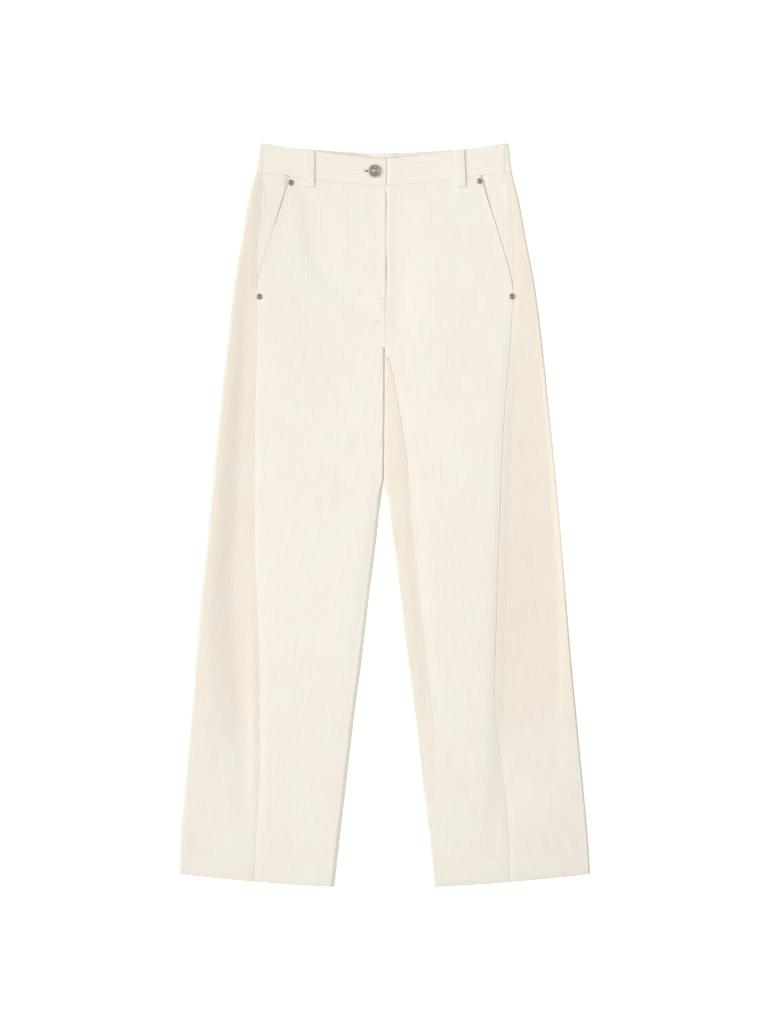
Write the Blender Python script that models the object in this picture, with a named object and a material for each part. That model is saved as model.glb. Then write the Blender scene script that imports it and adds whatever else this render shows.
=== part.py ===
"""Corduroy trousers lying flat on their back, with the front side up.

The script works in millimetres and turns them into Blender's metres when it makes a mesh. +Y points
to the waist, +Z is up, and the trousers lie on z = 0. Sides are the wearer's, so the right leg lies
at -X. Most functions work on one side, where "out" is the distance from the centre line.

A cut panel is a wall between rows of points that run across it. A place in a row is given by its path,
the distance along the cloth, so that a panel can turn round the rolled side of a leg. The ribs of the
corduroy are raised from the outside of the wall, at one pitch, and the seams cut across them.
"""

import math

import bmesh
import bpy
import numpy as np

MM = 0.001
SIGN = {"right": -1, "left": 1}

SEAM_GAP = 0.3
CLOTH = 1.1  # the cloth between two ribs
RIB = 0.55  # how far a rib stands above the cloth
HALF_RIB = 1.62  # from a rib's crest to the groove beside it
ROLL = 5.2  # radius of the cloth where it rolls round the side of a leg
CROWN = 1.2  # how far the middle of the top layer stands above the rolls
ROLL_FADE = 14.0  # creases and crown fade out over this distance from a roll
RIBS_FADE_TURN = 1.9  # past this angle round a roll, its ribs sink towards the flat underside
RIBS_FADE_SPAN = 0.7
RIBS_END_TURN = 0.82 * math.pi

CROTCH_Y = 239.4
CROTCH_GROWTH = 16.0  # below the crotch, the inner rolls form over this distance
HEM_DEPTH = 34.0
HEM_WALL = 2.4
HEM_INNER_Y = -520.8
HEM_OUTER_Y = -502.5
HEM_BOW = 1.8
HEM_OUT = (69.0, 288.0)

BAND_WALL = 2.6
BAND_PROUD = 0.4
BAND_RIBS = 12
BAND_DEPTH = 42.0
BAND_SEAM_OUT = 169.4
BAND_LOW_Y = 479.0
BAND_HIGH_Y = 520.8

FLY_LAP = 1.8  # the fly's edge lies past the centre line
FLY_END_Y = 300.0
FLY_BLEND = 8.0
FLY_STRIP_ABOVE = 6.0  # the strips behind the fly end this far above its end
FLY_STRIP_ROWS = 6
BAND_LAP = 3.5
LAP_SLOPE = 8.0  # the left band rises from under the right one over this distance
UNDERLAP = 32.0
SEAM_TROUGH = 0.5
TROUGH_WIDTH = 6.0
TROUGH_FADE = 20.0
FACING_DROP = 1.8
FACING_HIDDEN = 24.0
POCKET_END_Y = 316.0
POCKET_BLEND = 25.0

LOOP_WIDTH = 12.8
LOOP_WALL = 1.6
LOOP_ARCH = 0.9
LOOP_CLEARANCE = 0.55
LOOP_BELOW_SEAM = 12.5
FRONT_LOOPS = {"right": (-103.7, -103.7), "left": (106.0, 108.4)}  # x at the top and at the bottom
BACK_LOOP_OUT = 104.0
BACK_LIFT = 2.15
LIFT_FLAT = 10.5
LIFT_FADE = 12.0
LIFT_ROWS_Y = (418.0, 386.0)  # the lift fades between these two rows of the back

LOOP_STATIONS = 8
LOOP_RIBS = 8
BAND_STEP = 15.0  # between two upright rows of a band
UNDERLAP_STEP = 12.0
BAND_ROLL_ROWS = 7
BAND_RIBBED_SHARE = 0.8  # how much of the turn round the side is ribbed

BUTTON_X = -13.2
BUTTON_Y = 481.2
BUTTON_RADIUS = 8.8
SHANK_RADIUS = 2.4
EYELET_RADIUS = 3.1
SLIT_LENGTH = 14.0
SLIT_WIDTH = 1.1
CUTTER_HEIGHT = 20.0
BUTTON_SIDES = 24
RIVET_SIDES = 16
RIVET_RADIUS = 4.1
RIVETS = {
    "rivet_right_upper": (-130.2, 464.8),
    "rivet_right_lower": (-174.3, 305.5),
    "rivet_left_upper": (133.8, 466.9),
    "rivet_left_lower": (179.0, 305.8),
}

# The points of a row are ordered by keys. A rib's crest has an even key and a groove an odd one.
INSIDE_STEP = 6  # the plain inside has a point at every sixth key
KEY_MARGIN = 0.4  # no key lies closer than this to the edge of a piece
ROLL_KEY = 50  # the lowest point of the outer roll
UNDER_KEY = 100  # the flat underside takes this key and the next hundred
UNDER_KEYS = 100
INNER_KEY = 400  # where the inner roll reaches the top
INNER_ROLL_FIRST = -8
INNER_RIBS_FADE = 4
SETTLE_STEPS = 6
SHARP_ANGLE = math.radians(50)


def table(names, *rows):
    """Rows of numbers as named columns."""
    return dict(zip(names.split(), np.array(rows, float).T))


OUTER_EDGE = table(
    "y right left",
    (521, 175.0, 175.0),
    (479, 181.5, 179.6),
    (440, 191.0, 189.0),
    (385, 200.2, 199.0),
    (322, 211.0, 211.0),
    (245, 219.9, 221.0),
    (161, 229.5, 229.5),
    (77, 238.0, 238.0),
    (-35, 249.0, 248.0),
    (-119, 257.5, 255.0),
    (-203, 264.6, 262.0),
    (-287, 271.6, 270.0),
    (-371, 279.4, 278.0),
    (-455, 286.8, 285.6),
    (-500, 288.4, 288.4),
)
INNER_EDGE = table(
    "y right left",
    (245, 1.2, -0.6),
    (49, 1.3, -0.5),
    (21, 4.2, 5.0),
    (-35, 10.5, 11.8),
    (-119, 21.0, 22.5),
    (-203, 30.8, 32.2),
    (-287, 42.0, 43.2),
    (-371, 51.8, 51.8),
    (-455, 61.6, 62.6),
    (-521, 69.0, 69.6),
)
SIDE_SEAM = table(
    "y right left",
    (479, 169.4, 170.8),
    (441, 171.5, 175.0),
    (410, 173.6, 178.5),
    (371, 177.2, 179.8),
    (316, 178.5, 180.2),
    (245, 177.8, 177.0),
    (161, 180.6, 170.0),
    (77, 181.5, 165.2),
    (-35, 181.8, 161.2),
    (-168, 176.5, 156.8),
    (-259, 174.5, 154.0),
    (-315, 174.5, 159.6),
    (-399, 177.0, 170.5),
    (-455, 179.5, 174.0),
    (-521, 183.0, 176.0),
)
POCKET_MOUTH = table(
    "y right left",
    (476, 130.6, 135.4),
    (441, 141.0, 145.3),
    (400, 154.4, 158.4),
    (357, 168.0, 171.2),
    (333, 175.2, 177.5),
    (316, 178.5, 180.2),
)
# Where the inseam lies: its distance along the cloth, outwards from the start of the inner roll
INSEAM = table(
    "y right left",
    (245, -12.2, -2.0),
    (224, -12.2, -1.0),
    (175, -12.2, 10.3),
    (119, -12.2, 20.0),
    (56, -12.2, 28.5),
    (-14, -12.2, 24.7),
    (-154, -12.2, 21.3),
    (-273, -12.2, 20.0),
    (-400, -12.2, 8.0),
    (-450, -12.2, -2.0),
    (-521, -12.2, -10.0),
)
# How far the grain of each front has moved outwards at a height
GRAIN = table(
    "y right left",
    (479, 0.0, 0.0),
    (240, 0.0, 0.0),
    (-50, 22.8, 5.6),
    (-521, 78.0, 41.0),
)
WAIST_SEAM = table(
    "out y",
    (0, 461.3),
    (57, 464.6),
    (90, 468.4),
    (113, 471.8),
    (143, 475.8),
    (180, 479.0),
)
FRONT_TOP = table(
    "out y",
    (0, 498.3),
    (18, 499.5),
    (45, 502.9),
    (64, 505.0),
    (100, 510.0),
    (132, 514.2),
    (156, 519.0),
    (170, 520.8),
)
BACK_TOP = table(
    "out y",
    (0, 507.5),
    (56, 509.6),
    (100, 512.4),
    (134, 515.4),
    (157, 519.4),
    (170, 520.8),
)

# The creases and rolls that the top layer lies in, each from the waist down
FOLDS = {
    "right": (
        table(  # valley beside the side roll
            "y out rise width",
            (400, 191.5, 0.0, 6.0),
            (287, 196.5, -1.3, 8.0),
            (182, 206.0, -1.9, 8.5),
            (77, 214.0, -2.2, 9.0),
            (-28, 221.0, -2.4, 10.0),
            (-133, 226.8, -2.4, 11.0),
            (-203, 222.6, -2.2, 12.0),
            (-273, 213.0, -1.7, 13.0),
            (-378, 201.6, -0.9, 14.0),
            (-450, 198.0, 0.0, 14.0),
        ),
        table(  # puffed cloth between that valley and the edge
            "y out rise width",
            (260, 205.0, 0.0, 8.0),
            (77, 226.5, 0.9, 9.0),
            (-133, 243.0, 1.2, 11.0),
            (-273, 246.0, 1.3, 17.0),
            (-420, 250.0, 0.0, 20.0),
        ),
        table(  # ridge just outside the side seam
            "y out rise width",
            (-140, 186.0, 0.0, 6.0),
            (-225, 182.5, 1.0, 6.5),
            (-340, 182.5, 0.9, 6.5),
            (-440, 185.0, 0.0, 6.0),
        ),
        table(  # soft crease on the hip
            "y out rise width",
            (450, 113.0, 0.0, 9.0),
            (400, 112.0, -0.8, 9.0),
            (350, 100.8, -0.9, 10.0),
            (300, 74.0, 0.0, 10.0),
        ),
    ),
    "left": (
        table(  # crease along the side seam
            "y out rise width",
            (290, 178.8, 0.0, 7.0),
            (161, 170.0, -1.1, 8.0),
            (35, 163.8, -1.7, 8.5),
            (-100, 159.0, -1.6, 8.5),
            (-238, 158.2, -1.8, 11.0),
            (-308, 155.4, -1.7, 12.0),
            (-378, 148.4, -1.0, 13.0),
            (-450, 145.0, 0.0, 13.0),
        ),
        table(  # valley beside the side roll
            "y out rise width",
            (260, 211.0, 0.0, 8.0),
            (182, 214.2, -1.3, 9.0),
            (77, 219.8, -1.8, 9.0),
            (-28, 225.4, -2.1, 10.0),
            (-133, 226.8, -2.1, 10.0),
            (-224, 224.0, -1.5, 11.0),
            (-320, 218.0, 0.0, 12.0),
        ),
        table(  # valley outside the inner roll
            "y out rise width",
            (236, 3.0, 0.0, 6.0),
            (175, 17.0, -0.8, 7.0),
            (119, 26.0, -1.2, 8.0),
            (56, 35.5, -1.5, 8.5),
            (-84, 45.5, -1.7, 9.0),
            (-224, 60.8, -1.5, 10.0),
            (-310, 72.0, 0.0, 12.0),
        ),
        table(  # fullness beside the fly
            "y out rise width",
            (460, 62.0, 0.0, 26.0),
            (350, 68.0, 0.8, 28.0),
            (230, 66.0, 0.6, 28.0),
            (100, 80.0, 0.0, 30.0),
        ),
    ),
}

# The rows of the leg panels, by their height at the centre line
RISE_ROWS = (461.3, 420, 380, 340, 300)
LEG_ROWS = (165, 95, 30, -50, -140, -230, -320, -405)
PANEL_ROWS = (
    *RISE_ROWS,
    *(CROTCH_Y, CROTCH_Y - CROTCH_GROWTH),
    *LEG_ROWS,
    *(HEM_INNER_Y + HEM_DEPTH, HEM_INNER_Y),
)
# The points under a back: how far out they lie at the waist, where they follow the lift over the loops
UNDER_OUTS = (165, 140, 127, 115, 104, 93, 81, 50, 23, 11, 0)
UNDER_REACH = 176.0  # the width of half a back's flat underside, at the waist


def smooth(levels, values, at):
    """A smooth curve through a table's points that never swings past them."""
    order = np.argsort(levels)
    levels, values = levels[order], values[order]
    step = np.diff(levels)
    slope = np.diff(values) / step
    product = slope[:-1] * slope[1:]
    mean = np.where(product > 0, 2 * product / np.where(product > 0, slope[:-1] + slope[1:], 1), 0)
    tangent = np.concatenate([slope[:1], mean, slope[-1:]])
    i = np.clip(np.searchsorted(levels, at) - 1, 0, len(step) - 1)
    t = np.clip((at - levels[i]) / step[i], 0, 1)
    start = values[i] * (1 + 2 * t) * (1 - t) ** 2 + values[i + 1] * t * t * (3 - 2 * t)
    return start + step[i] * (tangent[i] * t * (1 - t) ** 2 - tangent[i + 1] * t * t * (1 - t))


def ease(t):
    """A soft step from 0 to 1."""
    t = np.clip(t, 0, 1)
    return t * t * (3 - 2 * t)


def waist_seam(out):
    return smooth(WAIST_SEAM["out"], WAIST_SEAM["y"], np.abs(out))


def front_top(out):
    return smooth(FRONT_TOP["out"], FRONT_TOP["y"], np.abs(out))


def back_top(out):
    return smooth(BACK_TOP["out"], BACK_TOP["y"], np.abs(out))


def back_seam(out):
    return back_top(out) - BAND_DEPTH


def hem(out):
    t = np.clip((out - HEM_OUT[0]) / (HEM_OUT[1] - HEM_OUT[0]), 0, 1)
    return HEM_INNER_Y + (HEM_OUTER_Y - HEM_INNER_Y) * t - 4 * HEM_BOW * t * (1 - t)


def row_share(level):
    """How far down a panel a row lies, from its height at the centre line."""
    return (PANEL_ROWS[0] - level) / (PANEL_ROWS[0] - HEM_INNER_Y)


def outer_edge(side, y):
    return smooth(OUTER_EDGE["y"], OUTER_EDGE[side], y) - RIB


def below_crotch(y):
    return ease((CROTCH_Y - y) / CROTCH_GROWTH)


def front_centre(y):
    """The line where the fronts meet, which the fly moves past the centre."""
    return FLY_LAP * ease((y - FLY_END_Y) / FLY_BLEND)


def inner_edge(side, y, centre):
    """The edge beside the other leg or, above the crotch, the centre seam."""
    seam = SIGN[side] * centre + SEAM_GAP / 2
    leg = smooth(INNER_EDGE["y"], INNER_EDGE[side], y) + RIB
    return seam + (leg - seam) * below_crotch(y)


def inner_start(side, y, centre):
    """Where the top layer starts to turn down round the inside of the leg."""
    turn = np.minimum(math.pi * below_crotch(y), math.pi / 2)
    return inner_edge(side, y, centre) + ROLL * np.sin(turn)


def relief(side, out, y):
    """The height of the top layer above the tops of the rolls."""
    crown = np.full(np.shape(out + y), CROWN)
    for fold in FOLDS[side]:
        line = smooth(fold["y"], fold["out"], y)
        rise = smooth(fold["y"], fold["rise"], y)
        width = smooth(fold["y"], fold["width"], y)
        crown = crown + rise * np.exp(-(((out - line) / width) ** 2))
    outer = ease((outer_edge(side, y) - ROLL - out) / ROLL_FADE)
    inner = ease((out - inner_start(side, y, 0)) / ROLL_FADE)
    return crown * outer * (1 - below_crotch(y) * (1 - inner))


def lowest_relief(side, out, y):
    """The relief's lower envelope, for the plain inside of a wall."""
    reach = INSIDE_STEP / 2 * HALF_RIB
    return np.minimum.reduce([relief(side, out + step, y) for step in (-reach, 0, reach)])


def seam_trough(side, out, y, depth):
    return depth * np.exp(-(((out - side_seam(side, y)) / TROUGH_WIDTH) ** 2))


def side_seam(side, y):
    return smooth(SIDE_SEAM["y"], SIDE_SEAM[side], y)


def pocket_mouth(side, y):
    return smooth(POCKET_MOUTH["y"], POCKET_MOUTH[side], y)


def front_outer(side, y):
    """The outer edge of a front: its pocket's mouth, then the side seam."""
    seam = side_seam(side, y)
    return np.where(y > POCKET_END_Y, np.minimum(pocket_mouth(side, y), seam), seam)


def inseam(side, y):
    return smooth(INSEAM["y"], INSEAM[side], y)


def front_place(side, path, y, rise):
    """Where a front lies: its distance out and its height."""
    start = inner_start(side, y, front_centre(y))
    turn = np.clip((start - path) / ROLL, 0, math.pi)
    radius = ROLL + rise
    out = np.where(turn > 0, start - radius * np.sin(turn), path)
    bumps = lowest_relief(side, out, y) if np.all(rise < 0) else relief(side, out, y)
    trough = seam_trough(side, out, y, SEAM_TROUGH * ease((POCKET_END_Y - y) / TROUGH_FADE))
    return out, ROLL + radius * np.cos(turn) + np.where(turn > 0, 0, bumps - trough)


def facing_place(side, path, y, rise):
    """Where a pocket facing lies, below the front."""
    bumps = lowest_relief(side, path, y) if np.all(rise < 0) else relief(side, path, y)
    return path, 2 * ROLL + rise + bumps - FACING_DROP


def back_under(side, y):
    """The length of a back's flat underside."""
    return outer_edge(side, y) - ROLL - inner_start(side, y, 0)


def back_place(side, path, y, rise):
    """Where a back lies. Its path is 0 where the top layer starts to turn down round the outside."""
    centre = outer_edge(side, y) - ROLL
    half_turn = math.pi * ROLL
    under = back_under(side, y)
    turn = np.clip(path / ROLL, 0, math.pi)
    second = np.clip((path - half_turn - under) / ROLL, 0, math.pi)
    beyond = np.maximum(path - 2 * half_turn - under, 0)
    radius = ROLL + rise
    first = centre + np.minimum(path, 0) + radius * np.sin(turn)
    first = first - np.clip(path - half_turn, 0, under)
    out = np.where(second > 0, centre - under - radius * np.sin(second) + beyond, first)
    on_top = (path <= 0) | (beyond > 0)
    bumps = lowest_relief(side, out, y) if np.all(rise < 0) else relief(side, out, y)
    beside_pocket = ease((y - POCKET_END_Y) / POCKET_BLEND + 0.4)
    depth = SEAM_TROUGH + (FACING_DROP - SEAM_TROUGH) * beside_pocket
    bumps = bumps - seam_trough(side, out, y, depth)
    lifted = np.where((turn >= math.pi) & (second == 0), back_lift(SIGN[side] * out, y), 0)
    height = np.where(second > 0, ROLL - radius * np.cos(second), ROLL + radius * np.cos(turn))
    return out, height + np.where(on_top, bumps, lifted)


def back_lift(x, y):
    """The back rises over its belt loops, which lie between it and the floor."""
    lift = 0
    for centre in (-BACK_LOOP_OUT, 0, BACK_LOOP_OUT):
        lift = np.maximum(lift, ease((LIFT_FLAT + LIFT_FADE - np.abs(x - centre)) / LIFT_FADE))
    return BACK_LIFT * lift * ease((y - LIFT_ROWS_Y[1]) / (LIFT_ROWS_Y[0] - LIFT_ROWS_Y[1]))


def settle(level, path, place, side, waist):
    """The path and height of a point on a row, when the path depends on the height."""
    share = row_share(level)
    y = level
    for _ in range(SETTLE_STEPS):
        out = place(side, path(side, y), y, 0.0)[0]
        y = waist(out) * (1 - share) + hem(out) * share
    return path(side, y), y


def row(side, level, place, columns, wall):
    """One row of a panel's outside and inside, each as keys and points. A column holds its key, its
    path, how much of a rib stands there, and whether the inside has a point there too."""
    outside, inside = ([], []), ([], [])
    for key, path, rib, inner, waist in columns:
        at, y = settle(level, path, place, side, waist)
        for surface, rise in ((outside, rib * RIB), (inside, -wall)):
            if surface is inside and not inner:
                continue
            out, z = place(side, np.float64(at), np.float64(y), rise)
            surface[0].append(key)
            surface[1].append((SIGN[side] * float(out), float(y), float(z)))
    return outside, inside


def wall_at(level):
    return HEM_WALL if level <= HEM_INNER_Y + HEM_DEPTH else CLOTH


def at_path(path):
    """A path that is the same at every height."""
    return lambda side, y: path


def rib_columns(first, last, offset, rib_at, is_rolled):
    """Columns on the crests and grooves between two keys, where a path is offset + key * HALF_RIB. The
    inside also has a point under each crest of a roll."""
    columns = []
    for key in range(math.ceil(first + KEY_MARGIN), math.floor(last - KEY_MARGIN) + 1):
        path = offset + key * HALF_RIB
        crest = key % 2 == 0
        rib = rib_at(path) if crest else 0
        inside = key % INSIDE_STEP == 0 or (crest and is_rolled(path))
        columns.append((key, at_path(path), rib, inside, waist_seam))
    return columns


def front_inner(side, y):
    start = inner_start(side, y, front_centre(y))
    return start + (inseam(side, y) + SEAM_GAP / 2) * below_crotch(y)


def front_row(side, level):
    """A front, from its inseam or centre line to its pocket's mouth or side seam."""
    def front_last(side, y):
        return front_outer(side, y) - SEAM_GAP / 2

    first = settle(level, front_inner, front_place, side, waist_seam)
    last = settle(level, front_last, front_place, side, waist_seam)
    grain = float(smooth(GRAIN["y"], GRAIN[side], np.float64(level)))
    first_key, last_key = [(float(path) - grain) / HALF_RIB for path, _ in (first, last)]
    start = float(inner_start(side, first[1], front_centre(first[1])))

    def rib_at(path):
        return 1 - ease((start - path) / ROLL - RIBS_FADE_TURN)

    def is_rolled(path):
        return path < start

    columns = [(first_key, front_inner, 0, True, waist_seam)]
    columns += rib_columns(first_key, last_key, grain, rib_at, is_rolled)
    columns.append((last_key, front_last, 0, True, waist_seam))
    return row(side, level, front_place, columns, wall_at(level))


def back_first(side, y):
    return side_seam(side, y) + SEAM_GAP / 2 - (outer_edge(side, y) - ROLL)


def back_last(side, y):
    turn = math.pi * ROLL + inseam(side, y) - SEAM_GAP / 2
    return math.pi * ROLL + back_under(side, y) + turn * below_crotch(y)


def back_row(side, level):
    """A back, from the side seam round the outside of the leg and under it to the inseam."""
    half_turn = math.pi * ROLL
    first_key = float(settle(level, back_first, back_place, side, waist_seam)[0]) / HALF_RIB
    end = settle(level, back_last, back_place, side, back_seam)

    def rib_at(path):
        return 1 - ease((path / ROLL - RIBS_FADE_TURN) / RIBS_FADE_SPAN)

    def is_rolled(path):
        return path >= 0

    columns = [(first_key, back_first, 0, True, waist_seam)]
    columns += rib_columns(first_key, RIBS_END_TURN * ROLL / HALF_RIB, 0, rib_at, is_rolled)
    columns.append((ROLL_KEY, at_path(half_turn), 0, True, back_seam))
    columns += under_columns(half_turn)
    if level < CROTCH_Y:
        columns += inner_roll_columns(side, level, end)
    else:
        columns[-1] = (UNDER_KEY + UNDER_KEYS, back_last, 0, True, back_seam)
    return row(side, level, back_place, columns, wall_at(level))


def under_columns(half_turn):
    """The flat underside of a back, from the outer roll to the inner one or the centre line."""
    columns = []
    for out in UNDER_OUTS:
        share = 1 - out / UNDER_REACH

        def under(side, y, share=share):
            return half_turn + share * back_under(side, y)

        columns.append((UNDER_KEY + UNDER_KEYS * share, under, 0, True, back_seam))
    return columns


def inner_roll_columns(side, level, end):
    """The part of a back that turns up round the inside of the leg, and on over the top."""
    path, y = end
    full_turn = 2 * math.pi * ROLL
    reach = float(path - back_under(side, y) - full_turn) / HALF_RIB
    columns = []
    if level <= CROTCH_Y - CROTCH_GROWTH:
        for key in range(INNER_ROLL_FIRST, math.floor(reach - KEY_MARGIN) + 1):

            def rolled(side, y, key=key):
                return full_turn + back_under(side, y) + key * HALF_RIB

            rib = ease((key - INNER_ROLL_FIRST) / INNER_RIBS_FADE) if key % 2 == 0 else 0
            inside = key % (2 if key < 0 else INSIDE_STEP) == 0
            columns.append((INNER_KEY + key, rolled, rib, inside, waist_seam))
    columns.append((INNER_KEY + reach, back_last, 0, True, waist_seam))
    return columns


def facing_row(side, level):
    """A pocket facing, from under the front to the side seam. Only what shows is ribbed."""
    def hidden(side, y):
        return pocket_mouth(side, y) - FACING_HIDDEN

    def middle(side, y):
        return pocket_mouth(side, y) - FACING_HIDDEN / 2

    def seam(side, y):
        return side_seam(side, y) - SEAM_GAP / 2

    keys = []
    for line in (hidden, pocket_mouth, seam):
        keys.append(float(settle(level, line, facing_place, side, waist_seam)[0]) / HALF_RIB)
    columns = [(keys[0], hidden, 0, True, waist_seam)]
    columns.append(((keys[0] + keys[1]) / 2, middle, 0, True, waist_seam))
    columns += rib_columns(keys[1], keys[2], 0, lambda path: 1, lambda path: False)
    columns.append((keys[2], seam, 0, True, waist_seam))
    return row(side, level, facing_place, columns, CLOTH)


def bridge(near, far):
    """Triangles between two rows, which join points whose keys are closest."""
    (near_keys, near_ids), (far_keys, far_ids) = near, far
    faces = []
    i = j = 0
    while i < len(near_ids) - 1 or j < len(far_ids) - 1:
        near_next = near_keys[i + 1] if i < len(near_ids) - 1 else math.inf
        far_next = far_keys[j + 1] if j < len(far_ids) - 1 else math.inf
        if near_next <= far_next:
            faces.append((near_ids[i], near_ids[i + 1], far_ids[j]))
            i += 1
        else:
            faces.append((near_ids[i], far_ids[j + 1], far_ids[j]))
            j += 1
    return faces


def wall(name, rows, material):
    """A closed wall from rows of its outside and inside."""
    points = []

    def stacked(surfaces):
        stack = []
        for keys, places in surfaces:
            stack.append((keys, range(len(points), len(points) + len(places))))
            points.extend(places)
        return stack

    outside = stacked([outer for outer, _ in rows])
    inside = stacked([inner for _, inner in rows])
    faces = []
    for near, far in zip(outside, outside[1:]):
        faces += bridge(near, far)
    for near, far in zip(inside, inside[1:]):
        faces += bridge(far, near)
    faces += bridge(inside[0], outside[0])
    faces += bridge(outside[-1], inside[-1])
    for end in (0, -1):
        rim = [(outer[1][end], inner[1][end]) for outer, inner in zip(outside, inside)]
        for (a, b), (c, d) in zip(rim, rim[1:]):
            faces += [(a, c, b), (b, c, d)] if end == 0 else [(a, b, c), (b, d, c)]
    return mesh_object(name, points, faces, material)


def mesh_object(name, points, faces, material):
    """A named object, in metres, with its faces pointing out."""
    mesh = bpy.data.meshes.new(name)
    mesh.from_pydata([tuple(MM * c for c in point) for point in points], [], faces)
    shape = bmesh.new()
    shape.from_mesh(mesh)
    bmesh.ops.recalc_face_normals(shape, faces=shape.faces)
    shape.to_mesh(mesh)
    shape.free()
    mesh.shade_smooth()
    mesh.set_sharp_from_angle(angle=SHARP_ANGLE)
    mesh.materials.append(material)
    made = bpy.data.objects.new(name, mesh)
    bpy.context.scene.collection.objects.link(made)
    return made


def finish(name, colour, roughness, metallic=0.0):
    """A piece's own material. The colour is in linear light."""
    material = bpy.data.materials.new(name)
    material.use_nodes = True
    shader = material.node_tree.nodes["Principled BSDF"]
    shader.inputs["Base Color"].default_value = (*colour, 1)
    shader.inputs["Roughness"].default_value = roughness
    shader.inputs["Metallic"].default_value = metallic
    return material


def corduroy(name):
    return finish(name, (0.90, 0.86, 0.76), 0.9)


def silver(name):
    return finish(name, (0.45, 0.45, 0.44), 0.35, 1.0)


def top_height(x, y):
    """The height of the top layer's cloth at a place, on either side."""
    side = "right" if x < 0 else "left"
    return 2 * ROLL + float(relief(side, np.float64(abs(x)), np.float64(y)))


def band_column(place, lower, upper, ribbed):
    """One upright row of a waistband, outside and inside, between its two edges."""
    surfaces = []
    for outside in (True, False):
        ribs = ribbed and outside
        keys = range(0, 2 * BAND_RIBS + 1, 1 if ribs else BAND_RIBS)
        points = []
        for key in keys:
            y = lower + (upper - lower) * key / (2 * BAND_RIBS)
            rib = RIB if ribs and key % 2 else 0.0
            points.append(place(y, rib if outside else -BAND_WALL))
        surfaces.append((list(keys), points))
    return tuple(surfaces)


def front_band_column(x, drop=0.0, ribbed=True):
    """An upright row of a front waistband at x, on top of the trousers."""
    def place(y, rise):
        return x, y, top_height(x, y) + BAND_PROUD + rise - drop

    lower = float(waist_seam(x)) + SEAM_GAP
    return band_column(place, lower, float(front_top(x)), ribbed)


def back_band_column(side, path_at, lower, ribbed):
    """An upright row of the back waistband, along a path that may change with the height."""
    def place(y, rise):
        y = np.float64(y)
        path = np.float64(path_at(side, y))
        out, z = back_place(side, path, y, rise)
        return SIGN[side] * float(out), float(y), float(z) + BAND_PROUD * float(ease(1 - path / ROLL))

    low = float(lower(abs(place(BAND_LOW_Y, 0.0)[0]))) + SEAM_GAP
    high = float(back_top(place(BAND_HIGH_Y, 0.0)[0]))
    return band_column(place, low, high, ribbed)


def spread(first, last, pitch):
    """Evenly spaced places from first to last, about a pitch apart."""
    return np.linspace(first, last, max(2, round(abs(last - first) / pitch) + 1))


def make_front_bands():
    """The right band laps over the left one, whose end drops to lie under it."""
    seam = BAND_SEAM_OUT - SEAM_GAP / 2
    columns = [front_band_column(x) for x in spread(-seam, BAND_LAP, BAND_STEP)]
    make_buttonhole(wall("waistband_front_right", columns, corduroy("waistband_front_right")))
    drop = BAND_WALL + RIB + SEAM_GAP
    lap_end = BAND_LAP + SEAM_GAP
    columns = [front_band_column(x, drop, False) for x in spread(-UNDERLAP, lap_end, UNDERLAP_STEP)]
    columns.append(front_band_column(lap_end + LAP_SLOPE / 2, drop / 2))
    columns.append(front_band_column(lap_end + LAP_SLOPE))
    first = lap_end + LAP_SLOPE + UNDERLAP_STEP
    columns += [front_band_column(x) for x in spread(first, seam, BAND_STEP)]
    wall("waistband_front_left", columns, corduroy("waistband_front_left"))


def make_buttonhole(band):
    """An eyelet and a slit, cut through the overlapping band for the button's shank."""
    middle = top_height(BUTTON_X, BUTTON_Y) - BAND_WALL
    bpy.ops.mesh.primitive_cylinder_add(
        vertices=16,
        radius=EYELET_RADIUS * MM,
        depth=CUTTER_HEIGHT * MM,
        location=(BUTTON_X * MM, BUTTON_Y * MM, middle * MM),
    )
    eyelet = bpy.context.object
    slit_x = BUTTON_X - SLIT_LENGTH / 2
    bpy.ops.mesh.primitive_cube_add(size=1, location=(slit_x * MM, BUTTON_Y * MM, middle * MM))
    slit = bpy.context.object
    slit.scale = (SLIT_LENGTH * MM, SLIT_WIDTH * MM, (CUTTER_HEIGHT - 1) * MM)
    for cutter in (eyelet, slit):
        cutter.hide_render = True
        cutter.display_type = "WIRE"
        cut = band.modifiers.new("buttonhole", "BOOLEAN")
        cut.operation = "DIFFERENCE"
        cut.object = cutter


def back_band_paths(side):
    """The paths of the back waistband's upright rows on one side, from its side seam to the centre, each
    with the seam it starts from and whether it is ribbed."""
    half_turn = math.pi * ROLL

    def seam(share):
        middle = BAND_SEAM_OUT + SEAM_GAP / 2 + ROLL
        return lambda side, y: share * (middle - outer_edge(side, y))

    def under(out):
        return lambda side, y: half_turn + back_under(side, y) - out

    paths = [(seam(share), waist_seam, True) for share in (1, 0.5)]
    for turn in np.linspace(0, half_turn, BAND_ROLL_ROWS):
        paths.append((at_path(turn), waist_seam, turn < BAND_RIBBED_SHARE * half_turn))
    paths += [(under(out), back_seam, False) for out in UNDER_OUTS]
    return paths


def make_back_band():
    """One piece under the back, which comes up round both sides to the band's side seams."""
    right, left = [
        [back_band_column(side, *path) for path in back_band_paths(side)] for side in ("right", "left")
    ]
    wall("waistband_back", right + left[-2::-1], corduroy("waistband_back"))


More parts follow.
